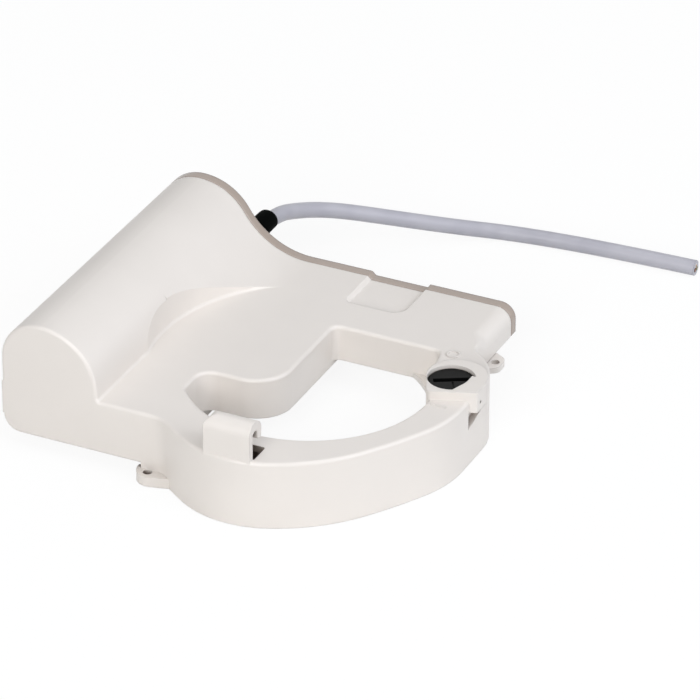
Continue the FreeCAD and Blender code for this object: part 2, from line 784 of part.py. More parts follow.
LUG = [
    (lug_back, front_left[1] + (lug_back - front_left[0]) * lug_line),
    (lug_face, front_left[1] + (lug_face - front_left[0]) * lug_line, 0.8),
    (lug_face, 13.0, 2.0),
    (lug_back, 18.0),
]
lug = prism("lug", "XY", LUG, "lug_underside", "deck_top + boss_rise - lug_underside")
boss = fuse("boss", [cut("boss_notched", boss_block, [notch]), lug])
lug_hole = cylinder("lug_hole", "wire_hole", "6", ("collar_right - 3", "8.9", "21.0"), "X")
mark_line = box("mark_line", ("40.2", "-0.9", "deck_top - 1"),
                ("mark_length", "mark_width", "1 + mark_rise"))
mark_line.Placement.Rotation = FreeCAD.Rotation(FreeCAD.Vector(0, 0, 1), -4)
mark_disc = cylinder("mark_disc", "mark_radius", "1 + mark_rise", ("34.2", "29.1", "deck_top - 1"))
mark_middle = cylinder("mark_middle", "mark_radius - mark_width", "2 + mark_rise",
                       ("34.2", "29.1", "deck_top"))
mark_circle = cut("mark_circle", mark_disc, [mark_middle])

# Seal eyelets at the two ends of the collar.
LEFT_EYE = [(-37.3, -41.5), (-37.3, -48.9, 5.1), (-25.0, -45.6), (-25.0, -41.5)]
left_eye = prism("left_eye", "XY", LEFT_EYE, "0", "left_eye_thickness")
left_eye_hole = cylinder("left_eye_hole", "seal_hole", "left_eye_thickness + 1.2",
                         ("-left_eye_x", "-left_eye_y", "-1"))
RIGHT_EYE = [(RIGHT - 5, 40.6), (RIGHT + 0.6, 40.6, 1.0), (RIGHT + 4.3, 43.2, 2.4),
             (RIGHT + 4.3, 48.8, 3.2), (RIGHT + 0.2, 51.2), (RIGHT - 5, 51.2)]
right_eye = prism("right_eye", "XY", RIGHT_EYE, "deck_underside + 0.1", "right_eye_thickness")
right_eye_hole = cylinder("right_eye_hole", "seal_hole", "right_eye_thickness + 2",
                          ("right_eye_x", "right_eye_y", "deck_underside - 1"))

# Seat lip that rests on the register's rim.
seat_disc = cylinder("seat_disc", "register_radius + 1", "seat_thickness",
                     ("0", "0", "seat_bottom"))
seat_bore = cylinder("seat_bore", "seat_radius", "seat_thickness + 2",
                     ("0", "0", "seat_bottom - 1"))
SEAT = [(18.0, 32.0), (18.0, 0.0), (-32.0, -24.0), (-32.0, -45.0), (45.0, -45.0), (45.0, 32.0)]
seat_reach = prism("seat_reach", "XY", SEAT, "seat_bottom - 1", "seat_thickness + 2")
seat = cut("seat", overlap("seat_ring", [seat_disc, seat_reach]), [seat_bore])

# Screw bosses and pillars inside the housing.
cover_points = [("hump_left - 6.7", "14.0"), ("hump_left - hump_outer_round", "hump_top - 6.9"),
                ("12.9", "15.4"), ("6.8 - deck_right", "16.4")]
cover_radii = ["4.7", "4.8", "4.9", "3.8"]
boss_end = "rear_edge - rear_lip - 0.2"
cover_bosses, cover_pilots = [], []
for i, ((x, z), radius) in enumerate(zip(cover_points, cover_radii)):
    base = ("-(" + x + ")", boss_end + " - 12", z)
    cover_bosses.append(cylinder("cover_boss_%d" % i, radius, "12", base, "Y"))
    pilot_base = ("-(" + x + ")", boss_end + " - 9", z)
    cover_pilots.append(cylinder("cover_pilot_%d" % i, "screw_radius + pilot_gap", "20",
                                 pilot_base, "Y"))
base_points = [("-cover_left + base_screw_inset", "-cover_front + base_screw_inset"),
               ("-cover_right - base_screw_inset", "-cover_front + base_screw_inset"),
               ("-cover_left + base_screw_inset", "cover_rear - base_screw_inset"),
               ("-cover_right - base_screw_inset", "cover_rear - base_screw_inset")]
base_bosses, base_pilots = [], []
for i, (x, y) in enumerate(base_points):
    base_bosses.append(cylinder("base_boss_%d" % i, "3", "4.0", (x, y, "ledge_underside")))
    base_pilots.append(cylinder("base_pilot_%d" % i, "screw_radius + pilot_gap", "6",
                                (x, y, "ledge_underside - 2")))
pillar_points = [("-44.5", "-34.0"), ("-49", "20"), ("-14.5", "36"), ("-38", "2")]
board_top = "board_underside + board_thickness"
pillars, pillar_pilots = [], []
for i, (x, y) in enumerate(pillar_points):
    pillars.append(cylinder("pillar_%d" % i, "pillar_radius",
                            "deck_top - wall + 0.5 - " + "(" + board_top + ")", (x, y, board_top)))
    pillar_pilots.append(cylinder("pillar_pilot_%d" % i, "screw_radius + pilot_gap", "5",
                                  (x, y, board_top + " - 0.5")))

# Housing: the whole.
hollow = cut("hollow", outer, [recess, hump_room, side_room, bulge_room, arm_room, rear_room,
                               ledge_window, cover_pocket, core, notch])
features = fuse("features", [hollow, hook, boss, left_eye, right_eye, seat, mark_line, mark_circle]
                + cover_bosses + base_bosses + pillars)
node("housing", cut("housing", features,
                    [hook_hole, lock_well, lock_bore, cam_window, cam_room, lug_hole,
                     left_eye_hole, right_eye_hole,
                     gland_relief] + cover_pilots + base_pilots + pillar_pilots))

# Rear cover: plate, locating lip, screw pillars and the groove of its gasket.
COVER = [
    (LEFT, FLOOR, size["hump_foot_round"]),
    (INLET, FLOOR),
    (INLET, size["bulge_underside"]),
    (BULGE, size["bulge_underside"]),
    (BULGE, size["deck_underside"]),
    (RIGHT - size["arm_chamfer_width"], size["deck_underside"]),
    (RIGHT, size["deck_underside"] + size["arm_chamfer_height"]),
    (RIGHT, TOP - END_ROUND, 0,
     on_circle(RIGHT - END_ROUND, TOP - END_ROUND, END_ROUND, 45)),
    (RIGHT - END_ROUND, TOP),
    (sweep_x, TOP, 0, sweep_arc),
    (touch_x, touch_z, 0,
     on_circle(hump_middle, inner_centre, size["hump_inner_round"],
               (90 + angle_to(hump_middle, inner_centre, touch_x, touch_z)) / 2)),
    (hump_middle, size["hump_top"], 0, left_arc),
    (LEFT, outer_centre),
]
cover_outline = sketch("cover_outline", "XZ", COVER, "rear_edge")
cover_plate = extrude("cover_plate", cover_outline, "XZ", "rear_cover_thickness")
gasket_dip = box("gasket_dip", ("-recess_left - 0.5", "rear_edge - 1",
                                "deck_top - recess_depth - 0.3"),
                 ("recess_left + recess_right + 1", "3", "4"))
room_outline = sketch("room_outline", "XZ", REAR_ROOM, "rear_edge - rear_lip")
lip_outer = extrude("lip_outer", grown("lip_outer_outline", room_outline, "-fit_gap"),
                    "XZ", "rear_lip + 0.5")
lip_inner = extrude("lip_inner",
                    grown("lip_inner_outline", room_outline, "-fit_gap - rear_lip_wall"),
                    "XZ", "rear_lip + 0.5")
lip = cut("lip", lip_outer, [lip_inner])
gasket_outer = extrude("gasket_outer",
                       grown("gasket_outer_outline", cover_outline, "-gasket_margin"),
                       "XZ", "gasket_thickness")
gasket_room = sketch("gasket_room", "XZ", REAR_ROOM, "rear_edge")
gasket_inner = extrude("gasket_inner", grown("gasket_inner_outline", gasket_room, "0.4"),
                       "XZ", "gasket_thickness")
gland_gap = cylinder("gland_gap", "gland_barb + 0.4", "8",
                     ("-gland_x", "rear_edge - 4", "gland_z"), "Y")
gasket = cut("gasket", gasket_outer, [gasket_inner, gland_gap, gasket_dip])
node("rear_gasket", gasket)
lip_gap = cylinder("lip_gap", "gland_barb + 1", "rear_lip + 1",
                   ("-gland_x", "rear_edge - rear_lip - 1", "gland_z"), "Y")
gland_hole = cylinder("gland_hole", "gland_shank + pilot_gap", "rear_cover_thickness + 2",
                      ("-gland_x", "rear_edge - 1", "gland_z"), "Y")
pillars_rear, cover_holes, cover_sinks, cover_screws = [], [], [], []
for i, (x, z) in enumerate(cover_points):
    across = "-(" + x + ")"
    pillars_rear.append(cylinder("cover_pillar_%d" % i, "2.6", "rear_lip + 0.5 + 0.2",
                                 (across, "rear_edge - rear_lip - 0.2", z), "Y"))
    cover_holes.append(cylinder("cover_hole_%d" % i, "screw_radius + pilot_gap",
                                "rear_cover_thickness + rear_lip + 2",
                                (across, "rear_edge - rear_lip - 1", z), "Y"))
    sink = "rear_edge + rear_cover_thickness - screw_head_height - 0.2"
    cover_sinks.append(cylinder("cover_sink_%d" % i, "screw_head_radius + 0.1", "4",
                                (across, sink, z), "Y"))
    head = cylinder("cover_head_%d" % i, "screw_head_radius", "screw_head_height",
                    (across, sink, z), "Y")
    shank = cylinder("cover_shank_%d" % i, "screw_radius", "12.8", (across, sink + " - 12.3", z),
                     "Y")
    slot = box("cover_slot_%d" % i, (across + " - 3", sink + " + screw_head_height - 0.7",
                                     z + " - 0.3"), ("6", "2", "0.6"))
    cover_screws.append(cut("cover_screw_%d" % i, fuse("cover_screw_blank_%d" % i,
                                                       [head, shank]), [slot]))
cover_body = fuse("cover_body", [cut("cover_plate_cut", cover_plate, [gasket]),
                                 cut("lip_cut", lip, [lip_gap])] + pillars_rear)
node("rear_cover", cut("rear_cover", cover_body,
                       [recess, gland_hole] + cover_holes + cover_sinks))
node("rear_cover_screws", fuse("rear_cover_screws", cover_screws))

# Base cover over the battery room, its gasket and its screws.
base_plate = box("base_plate", ("-cover_left + fit_gap", "-cover_front + fit_gap",
                                "body_underside"),
                 ("cover_left - cover_right - 2 * fit_gap",
                  "cover_front + cover_rear - 2 * fit_gap", "base_cover_thickness"))
seal_z = "body_underside + base_cover_thickness"
seal_outer = box("seal_outer", ("-cover_left + fit_gap", "-cover_front + fit_gap", seal_z),
                 ("cover_left - cover_right - 2 * fit_gap",
                  "cover_front + cover_rear - 2 * fit_gap",
                  "ledge_underside - body_underside - base_cover_thickness"))
seal_inner = box("seal_inner", ("-cover_left + ledge_width", "-cover_front + ledge_width",
                                seal_z + " - 1"),
                 ("cover_left - cover_right - 2 * ledge_width",
                  "cover_front + cover_rear - 2 * ledge_width", "5"))
seal_pads, seal_holes, base_holes, base_sinks, base_screws = [], [], [], [], []
for i, (x, y) in enumerate(base_points):
    seal_pads.append(cylinder("seal_pad_%d" % i, "3",
                              "ledge_underside - body_underside - base_cover_thickness",
                              (x, y, seal_z)))
    seal_holes.append(cylinder("seal_hole_%d" % i, "screw_radius + 0.15", "6",
                               (x, y, "body_underside")))
    base_holes.append(cylinder("base_hole_%d" % i, "screw_radius + 0.15", "6",
                               (x, y, "body_underside - 1")))
    base_sinks.append(cylinder("base_sink_%d" % i, "base_screw_radius + 0.1",
                               "base_head_height + 1.2",
                               (x, y, "body_underside - 1")))
    head = cylinder("base_head_%d" % i, "base_screw_radius", "base_head_height",
                    (x, y, "body_underside + 0.2"))
    shank = cylinder("base_shank_%d" % i, "screw_radius", "5.0",
                     (x, y, "body_underside + base_head_height - 0.3"))
    slot = box("base_slot_%d" % i, (x + " - 3", y + " - 0.3", "body_underside - 1"),
               ("6", "0.6", "1.8"))
    base_screws.append(cut("base_screw_%d" % i, fuse("base_screw_blank_%d" % i,
                                                     [head, shank]), [slot]))
node("base_cover", cut("base_cover", base_plate, base_holes + base_sinks))
seal_frame = cut("seal_frame", seal_outer, [seal_inner])
node("base_gasket", cut("base_gasket", fuse("seal_body", [seal_frame] + seal_pads),
                        seal_holes))
node("base_cover_screws", fuse("base_cover_screws", base_screws))


cell_radius = size["battery_radius"]
nub = size["battery_nub"]
CELL = [
    (0, 0),
    (nub, 0, 0.4),
    (nub, size["battery_nub_length"]),
    (cell_radius, size["battery_nub_length"], 1.0),
    (cell_radius, size["battery_length"], 0.8),
    (0, size["battery_length"]),
]
node("battery_cell", turned("battery_cell", CELL, ("-battery_x", "-battery_front", "battery_z"),
                            "Y"))
foot_x = -49.5
tab_low = size["board_underside"] + size["board_thickness"]
TAB = [
    (-size["battery_x"] - 2, size["battery_z"] + 3.6, 1.0),
    (-size["battery_x"] - 2, tab_low + 1.0, 1.0),
    (foot_x - 2, tab_low + 1.0),
    (foot_x - 2, tab_low),
    (foot_x, tab_low),
    (foot_x, tab_low + 4.4, 1.0),
    (-size["battery_x"] + 2, tab_low + 4.4, 1.0),
    (-size["battery_x"] + 2, size["battery_z"] + 3.6, 1.0),
]
node("front_terminal", prism("front_terminal", "XZ", TAB,
                             "-battery_front - terminal_thickness", "terminal_thickness"))
node("rear_terminal", prism("rear_terminal", "XZ", TAB, "battery_length - battery_front",
                            "terminal_thickness"))
CAPACITOR = [
    (0, 0),
    (size["capacitor_radius"], 0, 0.8),
    (size["capacitor_radius"], 2.2, 0.6),
    (size["capacitor_radius"] - 0.5, 2.7, 0.4),
    (size["capacitor_radius"], 3.2, 0.6),
    (size["capacitor_radius"], size["capacitor_length"], 0.8),
    (0, size["capacitor_length"]),
]
node("pulse_capacitor", turned("pulse_capacitor", CAPACITOR,
                               ("-capacitor_x", "capacitor_front", "capacitor_z"), "Y"))
cap_x = -size["capacitor_x"]
cap_y = size["capacitor_front"] + size["capacitor_length"]
cap_z = size["capacitor_z"]
lead_near = tube("lead_near", [(cap_x + 2.5, cap_y, cap_z), (cap_x + 2.5, cap_y + 2.2, cap_z),
                               (cap_x + 7.0, cap_y + 3.4, cap_z),
                               (foot_x - 1.0, cap_y + 3.4, cap_z),
                               (foot_x - 1.0, cap_y + 3.4, tab_low)], 0.35)
lead_far = tube("lead_far", [(cap_x - 2.5, cap_y, cap_z), (cap_x - 2.5, cap_y + 3.0, cap_z),
                             (cap_x + 2.0, cap_y + 5.2, cap_z),
                             (foot_x + 1.5, cap_y + 5.2, cap_z),
                             (foot_x + 1.5, cap_y + 5.2, tab_low)], 0.35)
node("capacitor_leads", fuse("capacitor_leads", [lead_near, lead_far]))
cradle_base = box("cradle_base", ("-cradle_left", "-33", seal_z),
                  ("cradle_width", "75", "cradle_floor"))
cradle_parts = [cradle_base]
for i, rib_y in enumerate(("-31", "-11", "9")):
    cradle_parts.append(box("cradle_rib_%d" % i, ("-cradle_left", rib_y, seal_z),
                            ("cradle_width", "cradle_rib", "11")))
for i, rib_y in enumerate(("23", "35")):
    cradle_parts.append(box("cradle_seat_%d" % i, ("-cradle_left", rib_y, seal_z),
                            ("cradle_width", "cradle_rib", "8")))
cell_space = cylinder("cell_space", "battery_radius + cradle_seat_gap", "battery_length + 2",
                      ("-battery_x", "-battery_front - 1", "battery_z"), "Y")
cap_space = cylinder("cap_space", "capacitor_radius + cradle_seat_gap", "capacitor_length + 4",
                     ("-capacitor_x", "capacitor_front - 2", "capacitor_z"), "Y")
node("battery_cradle", cut("battery_cradle", fuse("cradle_blank", cradle_parts),
                           [cell_space, cap_space]))

# Circuit board, the parts on it and the pickup coils under it.
BOARD = [
    (-52.0, -38.0, 1.0),
    (-34.9, -38.0, 1.0),
    (-34.9, -7.4, 1.0),
    (-10.5, -7.4, 8.0),
    (-10.5, 47.0, 1.0),
    (-52.0, 47.0, 1.0),
]
board_blank = prism("board_blank", "XY", BOARD, "board_underside", "board_thickness")
board_holes, board_screws = [], []
for i, (x, y) in enumerate(pillar_points):
    board_holes.append(cylinder("board_hole_%d" % i, "screw_radius + 0.15", "4",
                                (x, y, "board_underside - 1")))
    head = cylinder("board_head_%d" % i, "2.2", "1.4", (x, y, "board_underside - 1.4"))
    shank = cylinder("board_shank_%d" % i, "screw_radius", "5.4",
                     (x, y, "board_underside - 0.5"))
    board_screws.append(fuse("board_screw_%d" % i, [head, shank]))
node("circuit_board", cut("circuit_board", board_blank, board_holes))
node("board_screws", fuse("board_screws", board_screws))
node("microcontroller", box("microcontroller", ("-31", "20", board_top), ("7", "7", "0.95")))
node("crystal", prism("crystal", "XY", [(-21.6, 21.0, 1.2), (-17.6, 21.0, 1.2),
                                        (-17.6, 25.0, 1.2), (-21.6, 25.0, 1.2)],
                      board_top, "2.2"))
chips = []
for i, (x, y) in enumerate((("-33.5", "21"), ("-33.5", "24"), ("-29", "29"), ("-25", "29"),
                            ("-29", "16"), ("-25", "16"))):
    chips.append(box("chip_%d" % i, (x, y, board_top), ("1.6", "0.9", "0.8")))
node("chip_capacitors", fuse("chip_capacitors", chips))
block = box("block", ("-45.5", "33", board_top), ("11", "7", "5.2"))
block_cuts = []
for i, x in enumerate(("-43.5", "-40", "-36.5")):
    block_cuts.append(cylinder("block_hole_%d" % i, "wire_radius + 0.15", "3",
                               (x, "38", "17.4"), "Y"))
    block_cuts.append(cylinder("block_screw_%d" % i, "1.1", "2", (x, "35.6", board_top
                                                                  + " + 4.2")))
node("terminal_block", cut("terminal_block", block, block_cuts))

bobbin_height = size["board_underside"] - room_floor - 0.1
flange = size["bobbin_flange"]
BOBBIN = [
    (size["core_radius"] + 0.05, 0),
    (size["bobbin_radius"], 0),
    (size["bobbin_radius"], flange),
    (size["bobbin_hub"], flange),
    (size["bobbin_hub"], bobbin_height - flange),
    (size["bobbin_radius"], bobbin_height - flange),
    (size["bobbin_radius"], bobbin_height),
    (size["core_radius"] + 0.05, bobbin_height),
]
turns = int((bobbin_height - 2 * flange) / 0.6)
pitch = (bobbin_height - 2 * flange) / turns
WINDING = [(size["bobbin_hub"] + 0.02, flange + 0.01)]
for i in range(turns):
    low = flange + 0.01 + i * (pitch - 0.02 / turns)
    WINDING.append((size["winding_radius"] - 0.25, low))
    WINDING.append((size["winding_radius"], low + (pitch - 0.02 / turns) / 2))
WINDING.append((size["winding_radius"] - 0.25, bobbin_height - flange - 0.01))
WINDING.append((size["bobbin_hub"] + 0.02, bobbin_height - flange - 0.01))
CORE = [(0, 0), (size["core_radius"], 0, 0.2), (size["core_radius"], bobbin_height, 0.2),
        (0, bobbin_height)]
for place, y in (("front", "coil_front_y"), ("rear", "coil_front_y + coil_spacing")):
    base = ("-coil_x", y, "bulge_underside + bulge_floor + 0.1")
    node(place + "_coil_bobbin", turned(place + "_coil_bobbin", BOBBIN, base, "Z"))
    node(place + "_coil_winding", turned(place + "_coil_winding", WINDING, base, "Z"))
    node(place + "_coil_core", turned(place + "_coil_core", CORE, base, "Z"))

# Gland, the cable's tail inside the housing, its wires and the free cable.
gland_inner = size["rear_edge"] - 2.4
gland_end = size["rear_edge"] + size["rear_cover_thickness"] + size["gland_length"]
gland_bore = size["cable_radius"] + 0.06
GLAND = [
    (gland_bore, gland_inner),
    (gland_bore + 0.25, gland_inner),
    (size["gland_barb"], size["rear_edge"] - 0.4, 0.2),
    (size["gland_barb"], size["rear_edge"]),
    (size["gland_shank"], size["rear_edge"]),
    (size["gland_shank"], size["rear_edge"] + size["rear_cover_thickness"]),
    (size["gland_radius"], size["rear_edge"] + size["rear_cover_thickness"], 0.3),
    (size["gland_radius"], gland_end - 2.2, 2.0),
    (size["gland_radius"] - 0.55, gland_end, 0.15),
    (gland_bore, gland_end),
]
node("cable_gland", turned("cable_gland", GLAND, ("-gland_x", "0", "gland_z"), "Y"))
node("cable_tail", cylinder("cable_tail", "cable_radius",
                            "rear_edge + rear_cover_thickness + gland_length - tail_inner_end",
                            ("-gland_x", "tail_inner_end", "gland_z"), "Y"))
gx = -size["gland_x"]
gz = size["gland_z"]
tail_end = size["tail_inner_end"]
wire_r = size["wire_radius"]
for place, dx, dz, bx in (("left", -0.85, -1.0, -43.5), ("middle", 0.0, 0.0, -40.0),
                          ("right", 0.85, 1.0, -36.5)):
    drop = 17.4
    node(place + "_wire",
         tube(place + "_wire", [(gx + dx, tail_end, gz + dz), (gx + dx, tail_end - 2.4, gz + dz),
                                ((gx + dx + bx) / 2, tail_end - 5.0, (gz + dz + drop) / 2 - 1.2),
                                (bx, tail_end - 7.4, drop), (bx, 40.0, drop)], wire_r))
ROUTE = [
    (gx, gland_end, gz),
    (gx, 83.2, gz),
    (-50.7, 91.3, 23.7),
    (-47.9, 101.5, 18.9),
    (-41.8, 109.8, 15.0),
    (-32.1, 118.2, 10.8),
    (-21.6, 125.9, 7.4),
    (-10.7, 133.0, 4.5),
    (1.7, 139.0, 2.7),
    (15.4, 141.1, 2.62),
    (29.2, 142.4, 2.62),
    (43.0, 143.2, 2.62),
    (56.9, 143.8, 2.62),
    (67.7, 144.1, 2.62),
]
node("cable", tube("cable", ROUTE, size["cable_radius"]))

# Quarter-turn lock: slotted screw, seal under its head, clip that keeps it in, cam below.
head_low = TOP + size["lock_proud"] - size["lock_head"]
head_top = TOP + size["lock_proud"]
clip_top = size["deck_underside"] - 0.1
clip_low = clip_top - size["lock_clip_thickness"]
LOCK = [
    (0, size["cam_bottom"] - 0.6),
    (size["lock_tail"], size["cam_bottom"] - 0.6, 0.3),
    (size["lock_tail"], size["cam_top"]),
    (size["lock_shank"], size["cam_top"]),
    (size["lock_shank"], clip_low),
    (size["lock_shank"] - 0.5, clip_low),
    (size["lock_shank"] - 0.5, clip_top),
    (size["lock_shank"], clip_top),
    (size["lock_shank"], head_low),
    (size["lock_radius"], head_low),
    (size["lock_radius"], head_top, 0.5),
    (0, head_top),
]
lock_blank = turned("lock_blank", LOCK, ("lock_x", "lock_y", "0"), "Z")
slot = box("lock_slot", ("0", "0", "deck_top + lock_proud - lock_slot_depth"),
           ("lock_slot_length", "lock_slot_width", "lock_slot_depth + 1"))
slot_turn = math.radians(size["lock_slot_angle"])
slot.Placement.Rotation = FreeCAD.Rotation(FreeCAD.Vector(0, 0, 1), size["lock_slot_angle"])
bind(slot, "Placement.Base.x", "lock_x - lock_slot_length / 2 * %.9f + lock_slot_width / 2 * %.9f"
     % (math.cos(slot_turn), math.sin(slot_turn)))
bind(slot, "Placement.Base.y", "lock_y - lock_slot_length / 2 * %.9f - lock_slot_width / 2 * %.9f"
     % (math.sin(slot_turn), math.cos(slot_turn)))
lock_mark = box("lock_mark", ("0", "0", "deck_top + lock_proud - 0.4"), ("0.6", "4.4", "2"))
lock_mark.Placement.Rotation = slot.Placement.Rotation
bind(lock_mark, "Placement.Base.x", "lock_x + 5.6 * %.9f" % math.sin(slot_turn))
bind(lock_mark, "Placement.Base.y", "lock_y - 5.6 * %.9f" % math.cos(slot_turn))
node("lock_screw", cut("lock_screw", lock_blank, [slot, lock_mark]))
SEAL = [
    (size["lock_shank"] + 0.15, 0),
    (size["lock_radius"] - 0.5, 0, 0.3),
    (size["lock_radius"] - 0.5, size["lock_seal_thickness"], 0.3),
    (size["lock_shank"] + 0.15, size["lock_seal_thickness"]),
]
node("lock_seal", turned("lock_seal", SEAL, ("lock_x", "lock_y", lock_floor_rule), "Z"))
clip_ring = cylinder("clip_ring", "lock_clip_radius", "lock_clip_thickness",
                     ("lock_x", "lock_y", "deck_underside - 0.1 - lock_clip_thickness"))
clip_hole = cylinder("clip_hole", "lock_shank - 0.48", "lock_clip_thickness + 2",
                     ("lock_x", "lock_y", "deck_underside - 1.1 - lock_clip_thickness"))
clip_mouth = box("clip_mouth", ("lock_x", "lock_y - lock_shank + 0.8",
                                "deck_underside - 1.1 - lock_clip_thickness"),
                 ("lock_clip_radius + 1", "2 * lock_shank - 1.6", "lock_clip_thickness + 2"))
node("lock_clip", cut("lock_clip", clip_ring, [clip_hole, clip_mouth]))
cam_disc = cylinder("cam_disc", "cam_reach", "cam_top - cam_bottom",
                    ("lock_x", "lock_y", "cam_bottom"))
cam_hub = cylinder("cam_hub", "lock_tail + 1.6", "cam_top - cam_bottom",
                   ("lock_x", "lock_y", "cam_bottom"))
cam_turn = math.radians(lock_angle - 180)
cam_arm = box("cam_arm", ("0", "0", "cam_bottom"),
              ("cam_reach + 1", "2 * cam_half_width", "cam_top - cam_bottom"))
cam_arm.Placement.Rotation = FreeCAD.Rotation(FreeCAD.Vector(0, 0, 1), lock_angle - 180)
bind(cam_arm, "Placement.Base.x", "lock_x + cam_half_width * %.9f" % math.sin(cam_turn))
bind(cam_arm, "Placement.Base.y", "lock_y - cam_half_width * %.9f" % math.cos(cam_turn))
cam_hole = cylinder("cam_hole", "lock_tail + 0.02", "20", ("lock_x", "lock_y", "0"))
node("lock_cam", cut("lock_cam", fuse("cam_blank", [overlap("cam_tip", [cam_disc, cam_arm]),
                                                    cam_hub]), [cam_hole]))

doc.recompute()
for item in doc.Objects:
    if hasattr(item, "Shape") and (item.Shape.isNull() or not item.Shape.isValid()):
        print("not sound:", item.Name, item.State)
    if "Invalid" in item.State or "Error" in item.State:
        print("state:", item.Name, item.State)
for item in nodes:
    shape = item.Shape
    print(item.Label, len(shape.Solids), round(shape.Volume), shape.BoundBox)
os.makedirs("parts", exist_ok=True)
for item in nodes:
    item.Shape.exportStep("parts/%s.step" % item.Label)
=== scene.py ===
# %% [markdown]
# # A meter pulse transmitter, dressed from its CAD frame
#
# The object is a pale plastic housing that clamps on the register of a water meter. A battery
# hump stands on the left, a C-shaped collar runs round the register at the front right, a black
# quarter-turn lock sits on the collar and one grey signal cable leaves the rear.
#
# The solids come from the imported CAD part. This file gives each one its material, lays the cable,
# adds what the solids leave plain, and sets the camera, the light and the floor.

# %% Tools and the CAD frame
import json
import math

import bpy
from mathutils import Matrix, Vector


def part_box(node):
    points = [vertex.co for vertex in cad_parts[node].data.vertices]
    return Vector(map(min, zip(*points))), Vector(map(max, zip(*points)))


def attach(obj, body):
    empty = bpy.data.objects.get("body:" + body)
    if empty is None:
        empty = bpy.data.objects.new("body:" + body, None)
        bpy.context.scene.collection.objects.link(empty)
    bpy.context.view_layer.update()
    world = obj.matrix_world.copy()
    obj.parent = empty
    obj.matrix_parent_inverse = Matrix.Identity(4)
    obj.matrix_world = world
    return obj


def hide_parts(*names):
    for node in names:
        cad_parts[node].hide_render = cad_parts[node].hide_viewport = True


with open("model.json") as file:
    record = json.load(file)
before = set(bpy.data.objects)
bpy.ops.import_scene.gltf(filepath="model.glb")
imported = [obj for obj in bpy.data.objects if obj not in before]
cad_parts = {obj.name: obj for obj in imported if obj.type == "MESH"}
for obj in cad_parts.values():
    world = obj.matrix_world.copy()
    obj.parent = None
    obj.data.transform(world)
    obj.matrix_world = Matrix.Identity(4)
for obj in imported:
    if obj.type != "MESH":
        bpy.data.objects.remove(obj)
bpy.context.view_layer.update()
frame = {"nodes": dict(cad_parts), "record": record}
nodes = frame["nodes"]
print("CAD nodes:", len(nodes))

# %% [markdown]
# ## The camera
#
# The photograph is taken from in front and to the right, about 30 degrees above the table, with a
# long lens, so that parallel edges nearly stay parallel. The place and the lens were solved from
# the corners of the housing, whose real sizes the CAD model holds. The axis is given as a vector,
# because that says directly where the camera's back points.

# %% Camera
CAMERA_PLACE = Vector((0.586929, -1.197370, 0.804496))
CAMERA_BACK = Vector((0.37374693, -0.7799652, 0.50196366))
LENS_MM = 262.592
SENSOR_MM = 36
NEAREST, FARTHEST = 0.1, 20

camera_data = bpy.data.cameras.new("photo_camera")
camera_data.lens = LENS_MM
camera_data.sensor_width = SENSOR_MM
camera_data.clip_start = NEAREST
camera_data.clip_end = FARTHEST
camera = bpy.data.objects.new("photo_camera", camera_data)
camera.location = CAMERA_PLACE
camera.rotation_euler = CAMERA_BACK.to_track_quat("Z", "Y").to_euler()
bpy.context.collection.objects.link(camera)
bpy.context.scene.camera = camera
print("camera is %.2f m from the register" % CAMERA_PLACE.length)

# %% [markdown]
# ## The signal cable
#
# A signal cable of about 5 mm with a PVC sheath is stiff: it leaves the gland straight, drops in
# one long bend to the table and then lies nearly straight. The photograph shows both its ends, so
# its 158 mm are its whole length. A cord could be a chain of cylinders or a swept mesh. A NURBS
# curve is chosen, because it passes smoothly by its few route points and its round section comes
# from one number.

# %% Signal cable
MM = 0.001
CABLE_RADIUS = 2.575
CABLE_ROUTE = [
    (-51.7, 75.6, 25.6), (-51.6, 83.2, 24.5), (-50.5, 91.3, 21.7), (-47.6, 101.5, 17.9),
    (-41.8, 109.8, 14.6), (-32.1, 118.2, 10.8), (-21.6, 125.9, 7.4), (-10.7, 133.0, 4.5),
    (1.7, 139.0, 2.7), (15.4, 141.1, 2.62), (29.2, 142.4, 2.62), (43.0, 143.2, 2.62),
    (56.9, 143.8, 2.62), (67.4, 144.1, 2.62),
]

cable_curve = bpy.data.curves.new("signal_cable", "CURVE")
cable_curve.dimensions = "3D"
cable_line = cable_curve.splines.new("NURBS")
cable_line.points.add(len(CABLE_ROUTE) - 1)
for spot, (x, y, z) in zip(cable_line.points, CABLE_ROUTE):
    spot.co = (x * MM, y * MM, z * MM, 1)
cable_line.order_u = 3
cable_line.use_endpoint_u = True
cable_curve.resolution_u = 12
cable_curve.bevel_depth = CABLE_RADIUS * MM
cable_curve.bevel_resolution = 8
cable_curve.use_fill_caps = True
cable = bpy.data.objects.new("signal_cable", cable_curve)
bpy.context.collection.objects.link(cable)
print("cable route points:", len(CABLE_ROUTE))

# %% [markdown]
# ## Helpers for modelling
#
# The new pieces are made with the operators of the Blender menus. An operator works on whatever
# is selected, so these helpers clear the selection first. Most new pieces start as a flat disc,
# whose face is then drawn out and inset, so there is one helper for each of those steps.

# %% Modelling helpers
def clear_selection():
    bpy.ops.object.select_all(action="DESELECT")


def take(pieces):
    """Selects these pieces alone. The first one is the active one."""
    clear_selection()
    for piece in pieces:
        piece.select_set(True)
    bpy.context.view_layer.objects.active = pieces[0]


def settle(piece):
    """Puts the piece's place and turn into its mesh, so that its object sits at the origin."""
    take([piece])
    bpy.ops.object.transform_apply(location=True, rotation=True, scale=True)


def disc(sides, radius, place, turn=(0, 0, 0)):
    """A flat disc, in millimetres."""
    clear_selection()
    bpy.ops.mesh.primitive_circle_add(vertices=sides, radius=radius * MM, fill_type="NGON",
                                      location=Vector(place) * MM, rotation=turn)
    return bpy.context.object


